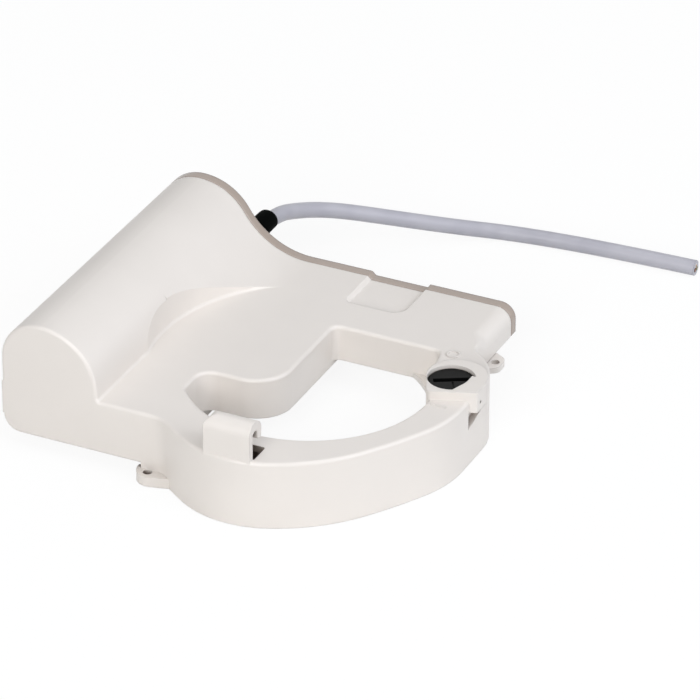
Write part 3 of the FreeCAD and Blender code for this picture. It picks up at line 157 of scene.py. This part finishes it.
def open_face(piece):
    """Goes into edit mode with the face of the disc selected."""
    take([piece])
    bpy.ops.object.mode_set(mode="EDIT")
    bpy.ops.mesh.select_mode(type="FACE")
    bpy.ops.mesh.select_all(action="SELECT")


def pull(step):
    """Draws the open face out by this step, in millimetres."""
    bpy.ops.mesh.extrude_region_move(TRANSFORM_OT_translate={"value": Vector(step) * MM})


def inset(width, rise=0):
    """Insets the open face by this width and raises it, in millimetres."""
    bpy.ops.mesh.inset(thickness=width * MM, depth=rise * MM)


def close_edit():
    bpy.ops.object.mode_set(mode="OBJECT")


def joined(name, parts):
    take(parts)
    bpy.ops.object.join()
    parts[0].name = name
    parts[0].data.name = name
    return parts[0]


# %% [markdown]
# ## The cut end of the cable
#
# The far end is cut off square. A cut cable shows its sheath as a ring and inside it the cores:
# here three, white, brown and green, each with a bundle of fine copper strands. It could be a
# picture on the end cap. It is modelled instead, so that it stays sharp from close up: discs are
# inset and pushed in, which is how a knife cut looks where the softer sheath stands a little
# proud.

# %% Cable end: sheath ring, cores and strands
END_PLACE = Vector(CABLE_ROUTE[-1]) * MM
END_WAY = (Vector(CABLE_ROUTE[-1]) - Vector(CABLE_ROUTE[-2])).normalized()
END_TURN = END_WAY.to_track_quat("Z", "Y").to_matrix().to_4x4()
END_FRAME = Matrix.Translation(END_PLACE) @ END_TURN
SHEATH_WALL = 0.85
RING_MARGIN = 0.02
RING_LIFT = 0.05
RING_EDGE, RING_EDGE_RISE = 0.12, 0.06
CORE_RADIUS = 0.72
CORE_REACH = CORE_RADIUS * 1.16
CORE_LIFT, CORE_RISE = 0.12, 0.12
CORE_WALL = 0.22
COPPER_STEP, COPPER_SINK = 0.02, 0.06
STRAND_RADIUS = 0.14
STRAND_REACH = STRAND_RADIUS * 2.1
OUTER_STRANDS = 6
STRAND_LIFT, STRAND_RISE = 0.05, 0.1
STRAND_EDGE, STRAND_DOME = 0.03, 0.02


def to_cable_end(piece, name):
    piece.matrix_world = END_FRAME @ piece.matrix_world
    settle(piece)
    piece.name = name
    return piece


def round_about(reach, degrees, height):
    """A place beside the cable's axis."""
    angle = math.radians(degrees)
    return Vector((reach * math.cos(angle), reach * math.sin(angle), height))


sheath_ring = disc(48, CABLE_RADIUS - RING_MARGIN, (0, 0, RING_LIFT))
open_face(sheath_ring)
inset(RING_EDGE, RING_EDGE_RISE)
inset(SHEATH_WALL - RING_EDGE)
close_edit()
to_cable_end(sheath_ring, "cable_cut_face")


def core_end(name, degrees):
    middle = round_about(CORE_REACH, degrees, CORE_LIFT)
    core = disc(24, CORE_RADIUS, middle)
    open_face(core)
    pull((0, 0, CORE_RISE))
    inset(CORE_WALL)
    inset(COPPER_STEP, -COPPER_SINK)
    close_edit()
    to_cable_end(core, "core_end_" + name)
    strands = []
    for i in range(OUTER_STRANDS + 1):
        reach = STRAND_REACH if i < OUTER_STRANDS else 0
        spot = middle + round_about(reach, i * 360 / OUTER_STRANDS, STRAND_LIFT)
        strand = disc(10, STRAND_RADIUS, spot)
        open_face(strand)
        pull((0, 0, STRAND_RISE))
        inset(STRAND_EDGE, STRAND_DOME)
        close_edit()
        strands.append(to_cable_end(strand, "strand"))
    return core, joined("core_strands_" + name, strands)


core_ends = {name: core_end(name, degrees)
             for name, degrees in (("white", 90), ("brown", 210), ("green", 330))}
print("cores at the cable's end:", len(core_ends))

# %% [markdown]
# ## The sensor coils
#
# Two small coils under the floor of the bulge feel the meter's pointer. In the CAD part each
# winding is a ribbed ring. The real one is fine enamelled copper wire in even layers. Drawing each
# of its hundreds of turns would only add weight, so the layers are drawn with a wire a little
# thicker than the real one: one turn is modelled and copied up and outwards.

# %% Coil windings
WIRE = 0.29 * MM
WINDING_LAYERS = 3


def winding(name, node):
    low, high = (Vector(corner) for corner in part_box(node))
    middle = (low + high) / 2
    outer = (high.x - low.x) / 2
    height = high.z - low.z
    rows = int(height / WIRE)
    turns = []
    for layer in range(WINDING_LAYERS):
        clear_selection()
        bpy.ops.mesh.primitive_torus_add(major_radius=outer - (layer + 0.5) * WIRE,
                                         minor_radius=WIRE / 2,
                                         major_segments=48, minor_segments=6,
                                         location=(middle.x, middle.y, low.z + WIRE / 2))
        turn = bpy.context.object
        copies = turn.modifiers.new("rows", "ARRAY")
        copies.use_relative_offset = False
        copies.use_constant_offset = True
        copies.constant_offset_displace = (0, 0, height / rows)
        copies.count = rows
        bpy.ops.object.modifier_apply(modifier="rows")
        settle(turn)
        bpy.ops.object.shade_smooth()
        turns.append(turn)
    print(name, "layers", len(turns), "rows", rows)
    return joined(name, turns)


windings = {
    "front_coil_winding": winding("front_coil_turns", "front_coil_winding"),
    "rear_coil_winding": winding("rear_coil_turns", "rear_coil_winding"),
}

# %% [markdown]
# ## The gland's boot
#
# Where the cable leaves the rear cover, the photograph shows a black rubber boot that stands a
# little higher than the plain sleeve of the CAD part, because the cable pulls its mouth down. A
# turned profile would be straight. So the boot is drawn out step by step, as on a mandrel: a disc
# is extruded, moved and scaled for the barb inside the cover, the shank in its hole, the belly
# behind it and the mouth round the cable.

# %% Gland boot
BOOT_START = Vector((-51.7, 59.6, 25.6))
BOOT_START_RADIUS = 2.85
BOOT_SMOOTH = math.radians(40)
FACING_REAR = (math.radians(-90), 0, 0)
BOOT_RINGS = [
    (-51.7, 61.6, 25.6, 3.2), (-51.7, 62.0, 25.6, 3.2), (-51.7, 62.02, 25.6, 2.95),
    (-51.7, 65.62, 25.6, 2.95), (-51.7, 65.65, 25.9, 3.4), (-51.7, 66.4, 26.1, 3.6),
    (-51.7, 68.5, 26.35, 3.6), (-51.7, 71.0, 26.5, 3.55), (-51.7, 74.0, 26.5, 3.5),
    (-51.7, 74.9, 26.4, 3.46), (-51.7, 75.5, 26.15, 3.3), (-51.7, 75.65, 25.9, 3.02),
    (-51.7, 75.65, 25.6, 2.68), (-51.7, 74.9, 25.6, 2.64),
]

boot = disc(48, BOOT_START_RADIUS, BOOT_START, FACING_REAR)
settle(boot)
open_face(boot)
middle, radius = BOOT_START, BOOT_START_RADIUS
for x, y, z, ring_radius in BOOT_RINGS:
    step = Vector((x, y, z)) - middle
    middle = middle + step
    share = ring_radius / radius
    radius = ring_radius
    pull(step)
    bpy.ops.transform.resize(value=(share, share, share), center_override=middle * MM)
close_edit()
take([boot])
bpy.ops.object.shade_smooth_by_angle(angle=BOOT_SMOOTH)
boot.name = "gland_boot"
print("rings of the boot:", len(BOOT_RINGS))

# %% [markdown]
# ## Helpers for materials
#
# Every finish is a node material. One function turns a written colour into Blender's linear one,
# and one adds a node with its settings and its links. Patterns read Object coordinates, which are
# metres on the object, so a pattern's scale is one over its real pitch.

# %% Material helpers
def colour(code):
    """sRGB hex to the linear colour that a shader wants."""
    parts = [int(code[i:i + 2], 16) / 255 for i in (1, 3, 5)]
    linear = [c / 12.92 if c <= 0.04045 else ((c + 0.055) / 1.055) ** 2.4 for c in parts]
    return linear + [1]


def add(tree, kind, settings, links=None):
    """Adds one node. Settings go to its sockets or, failing that, to its own properties."""
    node = tree.nodes.new(kind)
    for key, value in settings.items():
        if isinstance(key, int) or key in node.inputs:
            node.inputs[key].default_value = value
        else:
            setattr(node, key, value)
    for key, source in (links or {}).items():
        tree.links.new(source, node.inputs[key])
    return node


def per_mm(pitch):
    """The texture scale of a pattern that repeats every pitch millimetres."""
    return 1000 / pitch


def start(name):
    """An empty material with its shader, its output and the object's coordinates."""
    made = bpy.data.materials.new(name)
    made.use_nodes = True
    tree = made.node_tree
    tree.nodes.clear()
    shader = add(tree, "ShaderNodeBsdfPrincipled", {})
    add(tree, "ShaderNodeOutputMaterial", {}, {"Surface": shader.outputs[0]})
    place = add(tree, "ShaderNodeTexCoord", {}).outputs["Object"]
    return made, tree, shader, place


def finish(shader, **settings):
    for key, value in settings.items():
        shader.inputs[key.replace("_", " ")].default_value = value


def tinted(tree, shader, fac, low, high, first, last):
    """Lets a pattern move the colour between two hex colours, from its first to its last value."""
    ramp = add(tree, "ShaderNodeValToRGB", {}, {"Fac": fac})
    ramp.color_ramp.elements[0].position = first
    ramp.color_ramp.elements[1].position = last
    ramp.color_ramp.elements[0].color = colour(low)
    ramp.color_ramp.elements[1].color = colour(high)
    tree.links.new(ramp.outputs["Color"], shader.inputs["Base Color"])
    return ramp


def roughened(tree, shader, fac, low, high):
    """Lets a pattern move the roughness between two values."""
    span = add(tree, "ShaderNodeMapRange", {"To Min": low, "To Max": high}, {"Value": fac})
    tree.links.new(span.outputs["Result"], shader.inputs["Roughness"])


def raised(tree, shader, height, depth_mm, strength, base=None):
    """Turns a pattern into relief of this depth, on top of another relief if there is one."""
    links = {"Height": height}
    if base is not None:
        links["Normal"] = base
    bump = add(tree, "ShaderNodeBump", {"Strength": strength, "Distance": depth_mm * MM}, links)
    tree.links.new(bump.outputs["Normal"], shader.inputs["Normal"])
    return bump.outputs["Normal"]


def noise(tree, place, pitch, detail, stretch=None):
    """Noise whose blotches are about pitch millimetres, drawn out along an axis by stretch."""
    if stretch is not None:
        place = add(tree, "ShaderNodeMapping", {"Scale": stretch},
                    {"Vector": place}).outputs["Vector"]
    return add(tree, "ShaderNodeTexNoise", {"Scale": per_mm(pitch), "Detail": detail},
               {"Vector": place}).outputs["Fac"]


# %% [markdown]
# ## Moulded plastics
#
# The housing and the covers are ABS from an injection mould. The mould's skin is spark eroded, so
# the plastic has a fine matt grain over a soft gloss, and no outer edge is sharp: each one carries
# a radius of about half a millimetre that catches the light as a thin bright line. The larger
# radii are in the solids. The small ones come from the Bevel node, which only turns the normals
# near an edge. A deep narrow pocket, such as the hole under the hook, looks dark brown, because
# hardly any light comes back out of it. So the Ambient Occlusion node measures how much of the
# open room a point sees, and where that is little the colour goes over to a painted brown shade.
# The finishes differ in colour, gloss and grain only, so one function makes them all.

# %% Moulded plastic
CLOUD_MM = 34
POCKET_MM = 16
POCKET_ROOM, OPEN_ROOM = 0.1, 0.42


def moulded(name, pale, deep, gloss, edge_mm, grain_mm=0.8, grain_depth=0.012, ior=1.54,
            sheen=0.5, painted_pocket_shade=None):
    made, tree, shader, place = start(name)
    cloud = noise(tree, place, CLOUD_MM, 3.0)
    skin = tinted(tree, shader, cloud, deep, pale, 0.3, 0.7).outputs["Color"]
    # Painted shade: where the Ambient Occlusion node finds little open room, the colour goes over
    # to a dark brown that stands in for the shade in deep pockets.
    if painted_pocket_shade:
        room = add(tree, "ShaderNodeAmbientOcclusion",
                   {"samples": 8, "Distance": POCKET_MM * MM}).outputs["AO"]
        openness = add(tree, "ShaderNodeMapRange",
                       {"From Min": POCKET_ROOM, "From Max": OPEN_ROOM}, {"Value": room})
        shade = add(tree, "ShaderNodeMixRGB", {"Color1": colour(painted_pocket_shade)},
                    {"Fac": openness.outputs["Result"], "Color2": skin})
        tree.links.new(shade.outputs["Color"], shader.inputs["Base Color"])
    grain = noise(tree, place, grain_mm, 3.0)
    roughened(tree, shader, grain, gloss - 0.05, gloss + 0.07)
    edge = add(tree, "ShaderNodeBevel", {"samples": 6, "Radius": edge_mm * MM})
    raised(tree, shader, grain, grain_depth, 0.5, edge.outputs[0])
    finish(shader, IOR=ior, Specular_IOR_Level=sheen)
    return made


finishes = {}
# ABS with white pigment, spark-eroded mould: warm white, satin, with bright thin edges and a
# painted brown shade in its pockets. The grain is drawn about three times its real 0.25 mm, so
# that it shows.
finishes["housing_white"] = moulded("white_abs_moulded", "#E8E2DC", "#E4DED8", 0.36, 0.45,
                                    painted_pocket_shade="#6B594B")
# ABS with grey-brown pigment from a polished mould: taupe, glossier than the housing, so that its
# rounded rim mirrors the white room.
finishes["cover_taupe"] = moulded("taupe_abs_moulded", "#A59589", "#9B8B7F", 0.16, 1.3, sheen=1.0)
# PBT, glass filled: the coil bobbins and the battery cradle, off-white and dull.
finishes["bobbin_white"] = moulded("natural_pbt_moulded", "#E4E0D2", "#DAD5C6", 0.52, 0.15,
                                   grain_mm=0.5)
# Polyamide, green: the terminal block, satin.
finishes["block_green"] = moulded("green_polyamide_moulded", "#2F8F55", "#2A834D", 0.4, 0.15)
# Polyamide, black: the quarter-turn lock, deep black with a faint sheen that shows its slot.
finishes["lock_black"] = moulded("black_polyamide_moulded", "#0B0B0C", "#070707", 0.45, 0.25,
                                 grain_mm=0.6, sheen=0.08)
# Epoxy moulding compound: the microcontroller, matt with a fine even grit.
finishes["chip_black"] = moulded("black_epoxy_moulded", "#232325", "#1B1B1D", 0.6, 0.08,
                                 grain_mm=0.3)
# Synthetic rubber, moulded: the gland and its boot, black and almost without sheen.
finishes["gland_black"] = moulded("black_rubber_moulded", "#060707", "#040505", 0.6, 0.3,
                                  grain_mm=1.2, grain_depth=0.02, ior=1.52, sheen=0.01)
# Silicone rubber, moulded: the gaskets and the lock's seal, dark and matt.
finishes["seal_rubber"] = moulded("grey_silicone_moulded", "#4A4743", "#403D3A", 0.62, 0.1,
                                  grain_mm=0.5, ior=1.43)
print("moulded finishes:", len(finishes))

# %% [markdown]
# ## The cable's sheath and the wires
#
# The sheath is soft PVC drawn through a round die. Drawing leaves faint lines along the cable, and
# the twisted cores inside press a very shallow wave into it. Noise that is drawn out along X gives
# the lines where the cable lies, and a coarse noise gives the wave.

# %% Extruded plastic
ALONG_CABLE = (0.12, 1, 1)


def extruded(name, pale, deep, gloss, line_mm, wave_mm, sheen=0.5):
    made, tree, shader, place = start(name)
    lines = noise(tree, place, line_mm, 2.0, ALONG_CABLE)
    wave = noise(tree, place, wave_mm, 1.0)
    tinted(tree, shader, wave, deep, pale, 0.35, 0.65)
    roughened(tree, shader, lines, gloss - 0.04, gloss + 0.08)
    base = raised(tree, shader, wave, 0.12, 0.4)
    raised(tree, shader, lines, 0.02, 0.5, base)
    finish(shader, IOR=1.53, Specular_IOR_Level=sheen)
    return made


# PVC, extruded: the cable's sheath, cool grey with a soft highlight along its middle.
finishes["cable_grey"] = extruded("grey_pvc_extruded", "#BAB9C1", "#B2B1BA", 0.3, 0.5, 9,
                                  sheen=0.25)
# PVC insulation of the cores: thin, glossy, one colour each.
finishes["wire_white"] = extruded("white_pvc_insulation", "#E2E1DB", "#D8D7D0", 0.36, 0.3, 4)
finishes["wire_brown"] = extruded("brown_pvc_insulation", "#6A4027", "#5E3822", 0.36, 0.3, 4)
finishes["wire_green"] = extruded("green_pvc_insulation", "#3E8A4C", "#367C43", 0.36, 0.3, 4)
print("extruded finishes: 4")

# %% [markdown]
# ## Shrink sleeves
#
# The battery and the pulse capacitor wear a sleeve of PVC film that was shrunk on with hot air. It
# is thin and glossy, and it gathers in small folds round the ends. The folds are a coarse noise
# with little depth.

# %% Shrink sleeve
FOLD_MM = 3.5
ALONG_CELL = (1, 0.35, 1)


def sleeved(name, pale, deep):
    made, tree, shader, place = start(name)
    folds = noise(tree, place, FOLD_MM, 4.0, ALONG_CELL)
    tinted(tree, shader, folds, deep, pale, 0.3, 0.7)
    roughened(tree, shader, folds, 0.2, 0.34)
    raised(tree, shader, folds, 0.08, 0.5)
    finish(shader, IOR=1.53, Coat_Weight=0.3, Coat_Roughness=0.12)
    return made


# PVC film over a steel can: the lithium cell, blue and glossy.
finishes["cell_sleeve"] = sleeved("blue_pvc_sleeve", "#35609A", "#2B5288")
# PVC film over an aluminium can: the pulse capacitor, nearly black.
finishes["capacitor_sleeve"] = sleeved("black_pvc_sleeve", "#23283A", "#1B1F2E")
print("sleeves: 2")

# %% [markdown]
# ## Metals
#
# Screws are rolled and zinc plated, the battery's strips are rolled nickel, the cam is milled
# brass and the winding is enamelled copper. Each is a metal whose gloss is broken by the marks of
# its making. Milling and rolling marks are a noise that is drawn out along one axis.

# %% Metal
EVEN = (1, 1, 1)
ROLLED = (1, 0.2, 0.1)
MILLED = (0.15, 1, 1)


def metal(name, pale, deep, gloss, mark_mm, way, depth=0.01):
    made, tree, shader, place = start(name)
    marks = noise(tree, place, mark_mm, 3.0, way)
    tinted(tree, shader, marks, deep, pale, 0.3, 0.7)
    roughened(tree, shader, marks, gloss - 0.08, gloss + 0.1)
    raised(tree, shader, marks, depth, 0.6)
    finish(shader, Metallic=1.0)
    return made


# Steel, zinc plated: screws and clip, bright grey with a faint blotch.
finishes["screw_steel"] = metal("zinc_plated_steel", "#C4C4C2", "#AEAFB0", 0.3, 0.6, EVEN)
# Nickel strip, rolled: battery tabs, leads and the crystal's can, warm silver with fine lines.
finishes["tab_nickel"] = metal("rolled_nickel", "#C9C4B8", "#B5B0A5", 0.26, 0.4, ROLLED)
# Brass, milled: the cam, yellow with milling marks across it.
finishes["cam_brass"] = metal("milled_brass", "#C9A664", "#B08E4E", 0.28, 0.4, MILLED, 0.02)
# Copper, enamelled: the coil windings, red-brown under a clear glossy varnish.
finishes["winding_copper"] = metal("enamelled_copper", "#B5683A", "#9A522B", 0.3, 0.5, EVEN)
finish(finishes["winding_copper"].node_tree.nodes["Principled BSDF"],
       Coat_Weight=0.6, Coat_Roughness=0.1)
print("metals: 4")

# %% [markdown]
# ## The circuit board and the fired parts
#
# The board is glass-fibre laminate under green solder mask. Under the mask the copper tracks stand
# a hair proud and look lighter. A brick pattern draws them: its mortar lines are tracks 0.3 mm
# wide on a grid of 2.54 mm, the pitch of through-hole parts. The ferrite cores and the ceramic
# capacitors are fired, so they are matt and a little mottled.

# %% Circuit board
HOLE_PITCH_MM = 2.54

board, tree, shader, place = start("green_solder_mask_on_laminate")
tracks = add(tree, "ShaderNodeTexBrick",
             {"Scale": per_mm(HOLE_PITCH_MM), "Mortar Size": 0.06, "Mortar Smooth": 0.2,
              "Brick Width": 2.0, "Row Height": 1.0,
              "Color1": colour("#1E6B40"), "Color2": colour("#1B6239"),
              "Mortar": colour("#2F8A55")}, {"Vector": place})
tree.links.new(tracks.outputs["Color"], shader.inputs["Base Color"])
raised(tree, shader, tracks.outputs["Fac"], 0.035, 0.7)
finish(shader, Roughness=0.3, IOR=1.5, Coat_Weight=0.4, Coat_Roughness=0.15)
finishes["board_green"] = board
print("board tracks every", HOLE_PITCH_MM, "mm")


# %% Fired parts
def fired(name, pale, deep, speck_mm, gloss):
    made, tree, shader, place = start(name)
    specks = add(tree, "ShaderNodeTexVoronoi", {"Scale": per_mm(speck_mm)},
                 {"Vector": place}).outputs["Distance"]
    tinted(tree, shader, specks, deep, pale, 0.1, 0.7)
    roughened(tree, shader, specks, gloss - 0.05, gloss + 0.1)
    raised(tree, shader, specks, 0.02, 0.5)
    return made


# Ferrite, sintered: charcoal grey and gritty.
finishes["ferrite_grey"] = fired("sintered_ferrite", "#45464A", "#36373B", 0.35, 0.7)
# Ceramic, fired: the chip capacitors, tan and smooth.
finishes["ceramic_tan"] = fired("fired_ceramic", "#A5835F", "#93724F", 0.4, 0.45)
print("finishes in all:", len(finishes))

# %% [markdown]
# ## Materials onto the pieces
#
# The CAD record names a slot for each node, such as the housing's or the cable's, and each node
# takes the finish of its slot. The new pieces aren't in the record, so here each one takes the
# finish of its slot and the body that carries it, and the CAD node that it stands for is hidden.
# All of them sit on the housing, so they ride the same body.

# %% Finishes onto the CAD nodes
def wear(piece, made):
    piece.data.materials.clear()
    piece.data.materials.append(made)


slot_of = {entry["node"]: entry["material_slot"] for entry in frame["record"]["subparts"]}
for name, piece in nodes.items():
    wear(piece, finishes[slot_of[name]])
print("nodes dressed:", len(slot_of))

# %% Riding and finishes of the new pieces
def carry_on_body(piece, slot, node=None):
    """Gives a new piece the finish of its slot and its body, and hides the CAD node that it stands
    for.
    """
    wear(piece, finishes[slot])
    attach(piece, "body")
    if node:
        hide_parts(node)


carry_on_body(cable, "cable_grey", "cable")
carry_on_body(boot, "gland_black", "cable_gland")
for node, piece in windings.items():
    carry_on_body(piece, "winding_copper", node)

carry_on_body(sheath_ring, "cable_grey")
end_pieces = [sheath_ring]
for name, (core, strands) in core_ends.items():
    carry_on_body(core, "wire_" + name)
    carry_on_body(strands, "winding_copper")
    end_pieces += [core, strands]

print("pieces on the cable's end:", len(end_pieces))

# %% [markdown]
# ## Floor and background
#
# The object lies on white paper that runs out of sight. In the photograph the paper is pure white
# and its shadow nearly gone. More light would also bleach the object, so the paper itself is
# changed: to the camera and in reflections it is mostly plain white, and the rest of it still
# receives light, which leaves a faint shadow under the object.

# %% Floor
FLOOR_SIZE = 6
FLOOR_DROP = 0.2 * MM
WHITE_SHARE = 0.9

clear_selection()
bpy.ops.mesh.primitive_plane_add(size=FLOOR_SIZE, location=(0, 0, -FLOOR_DROP))
floor = bpy.context.object
floor.name = "white_paper"
settle(floor)


def seen_directly(tree):
    """One for what the camera, a reflection or glass sees, zero for the light that it gives."""
    rays = add(tree, "ShaderNodeLightPath", {})
    seen = rays.outputs["Is Camera Ray"]
    for kind in ("Is Glossy Ray", "Is Transmission Ray"):
        seen = add(tree, "ShaderNodeMath", {"operation": "MAXIMUM"},
                   {0: seen, 1: rays.outputs[kind]}).outputs[0]
    return seen


def white_to_eye(tree, lit, share):
    """Mixes plain white into a shader for what is seen of it directly."""
    part = add(tree, "ShaderNodeMath", {"operation": "MULTIPLY", 1: share},
               {0: seen_directly(tree)}).outputs[0]
    white = add(tree, "ShaderNodeEmission", {"Color": (1, 1, 1, 1), "Strength": 1.0})
    return add(tree, "ShaderNodeMixShader", {}, {0: part, 1: lit, 2: white.outputs[0]}).outputs[0]


paper = bpy.data.materials.new("white_card_matt")
paper.use_nodes = True
tree = paper.node_tree
tree.nodes.clear()
card = add(tree, "ShaderNodeBsdfDiffuse", {"Color": colour("#F4F4F3"), "Roughness": 0.9})
add(tree, "ShaderNodeOutputMaterial", {},
    {"Surface": white_to_eye(tree, card.outputs[0], WHITE_SHARE)})
wear(floor, paper)
print("paper, metres across:", FLOOR_SIZE)

# %% [markdown]
# ## Light
#
# A product like this is lit in a white tent. The world gives the tent's weak light from all sides,
# and to the eye and in reflections it is plain white. The photograph's tones show the rest: the
# left flank of the hump is the darkest pale surface, and the walls that look to the front and to
# the right are as bright as the tops. So large soft lamps stand above, in front and to the right.
# Their levels were first found by rendering each alone and fitting the sum to the photograph's
# tones, and then trimmed, so that a colour renders about as written. The lamps on the right
# are a little cooler, because the surfaces that look that way are.

# %% World
WORLD_LIGHT = 0.11
world = bpy.data.worlds.new("white_tent")
bpy.context.scene.world = world
world.use_nodes = True
tree = world.node_tree
tree.nodes.clear()
level = add(tree, "ShaderNodeMapRange", {"To Min": WORLD_LIGHT, "To Max": 1.0},
            {"Value": seen_directly(tree)})
tent = add(tree, "ShaderNodeBackground", {"Color": (1, 1, 1, 1)},
           {"Strength": level.outputs["Result"]})
add(tree, "ShaderNodeOutputWorld", {}, {"Surface": tent.outputs[0]})
print("light of the tent:", WORLD_LIGHT)


# %% Lamps
FRAME_MIDDLE = Vector((0, 0.03, 0))
PLAIN_WHITE = "#FFFFFF"
COOL_WHITE = "#F4F8FF"


def lamp(name, place, size, watts, tint):
    """A square soft lamp at this place that looks at the middle of the frame."""
    data = bpy.data.lights.new(name, "AREA")
    data.color = colour(tint)[:3]
    data.shape = "SQUARE"
    data.size = size
    data.energy = watts
    holder = bpy.data.objects.new(name, data)
    holder.location = place
    holder.rotation_euler = (Vector(place) - FRAME_MIDDLE).to_track_quat("Z", "Y").to_euler()
    bpy.context.collection.objects.link(holder)
    return holder


lamps = [
    lamp("overhead_softbox", (-0.25, 0.35, 1.3), 1.1, 4.2, PLAIN_WHITE),
    lamp("high_right_softbox", (0.7, -0.3, 1.2), 0.9, 4.5, COOL_WHITE),
    lamp("front_softbox", (0.1, -1.4, 0.7), 0.9, 14.4, PLAIN_WHITE),
    lamp("right_softbox", (1.4, -0.3, 0.9), 0.9, 7.4, COOL_WHITE),
    lamp("rear_right_softbox", (1.2, 0.7, 0.6), 0.8, 4.8, COOL_WHITE),
]
bpy.context.scene.view_settings.view_transform = "Standard"
print("lamps:", len(lamps))

# %% [markdown]
# ## The end
#


print("end of the scene")
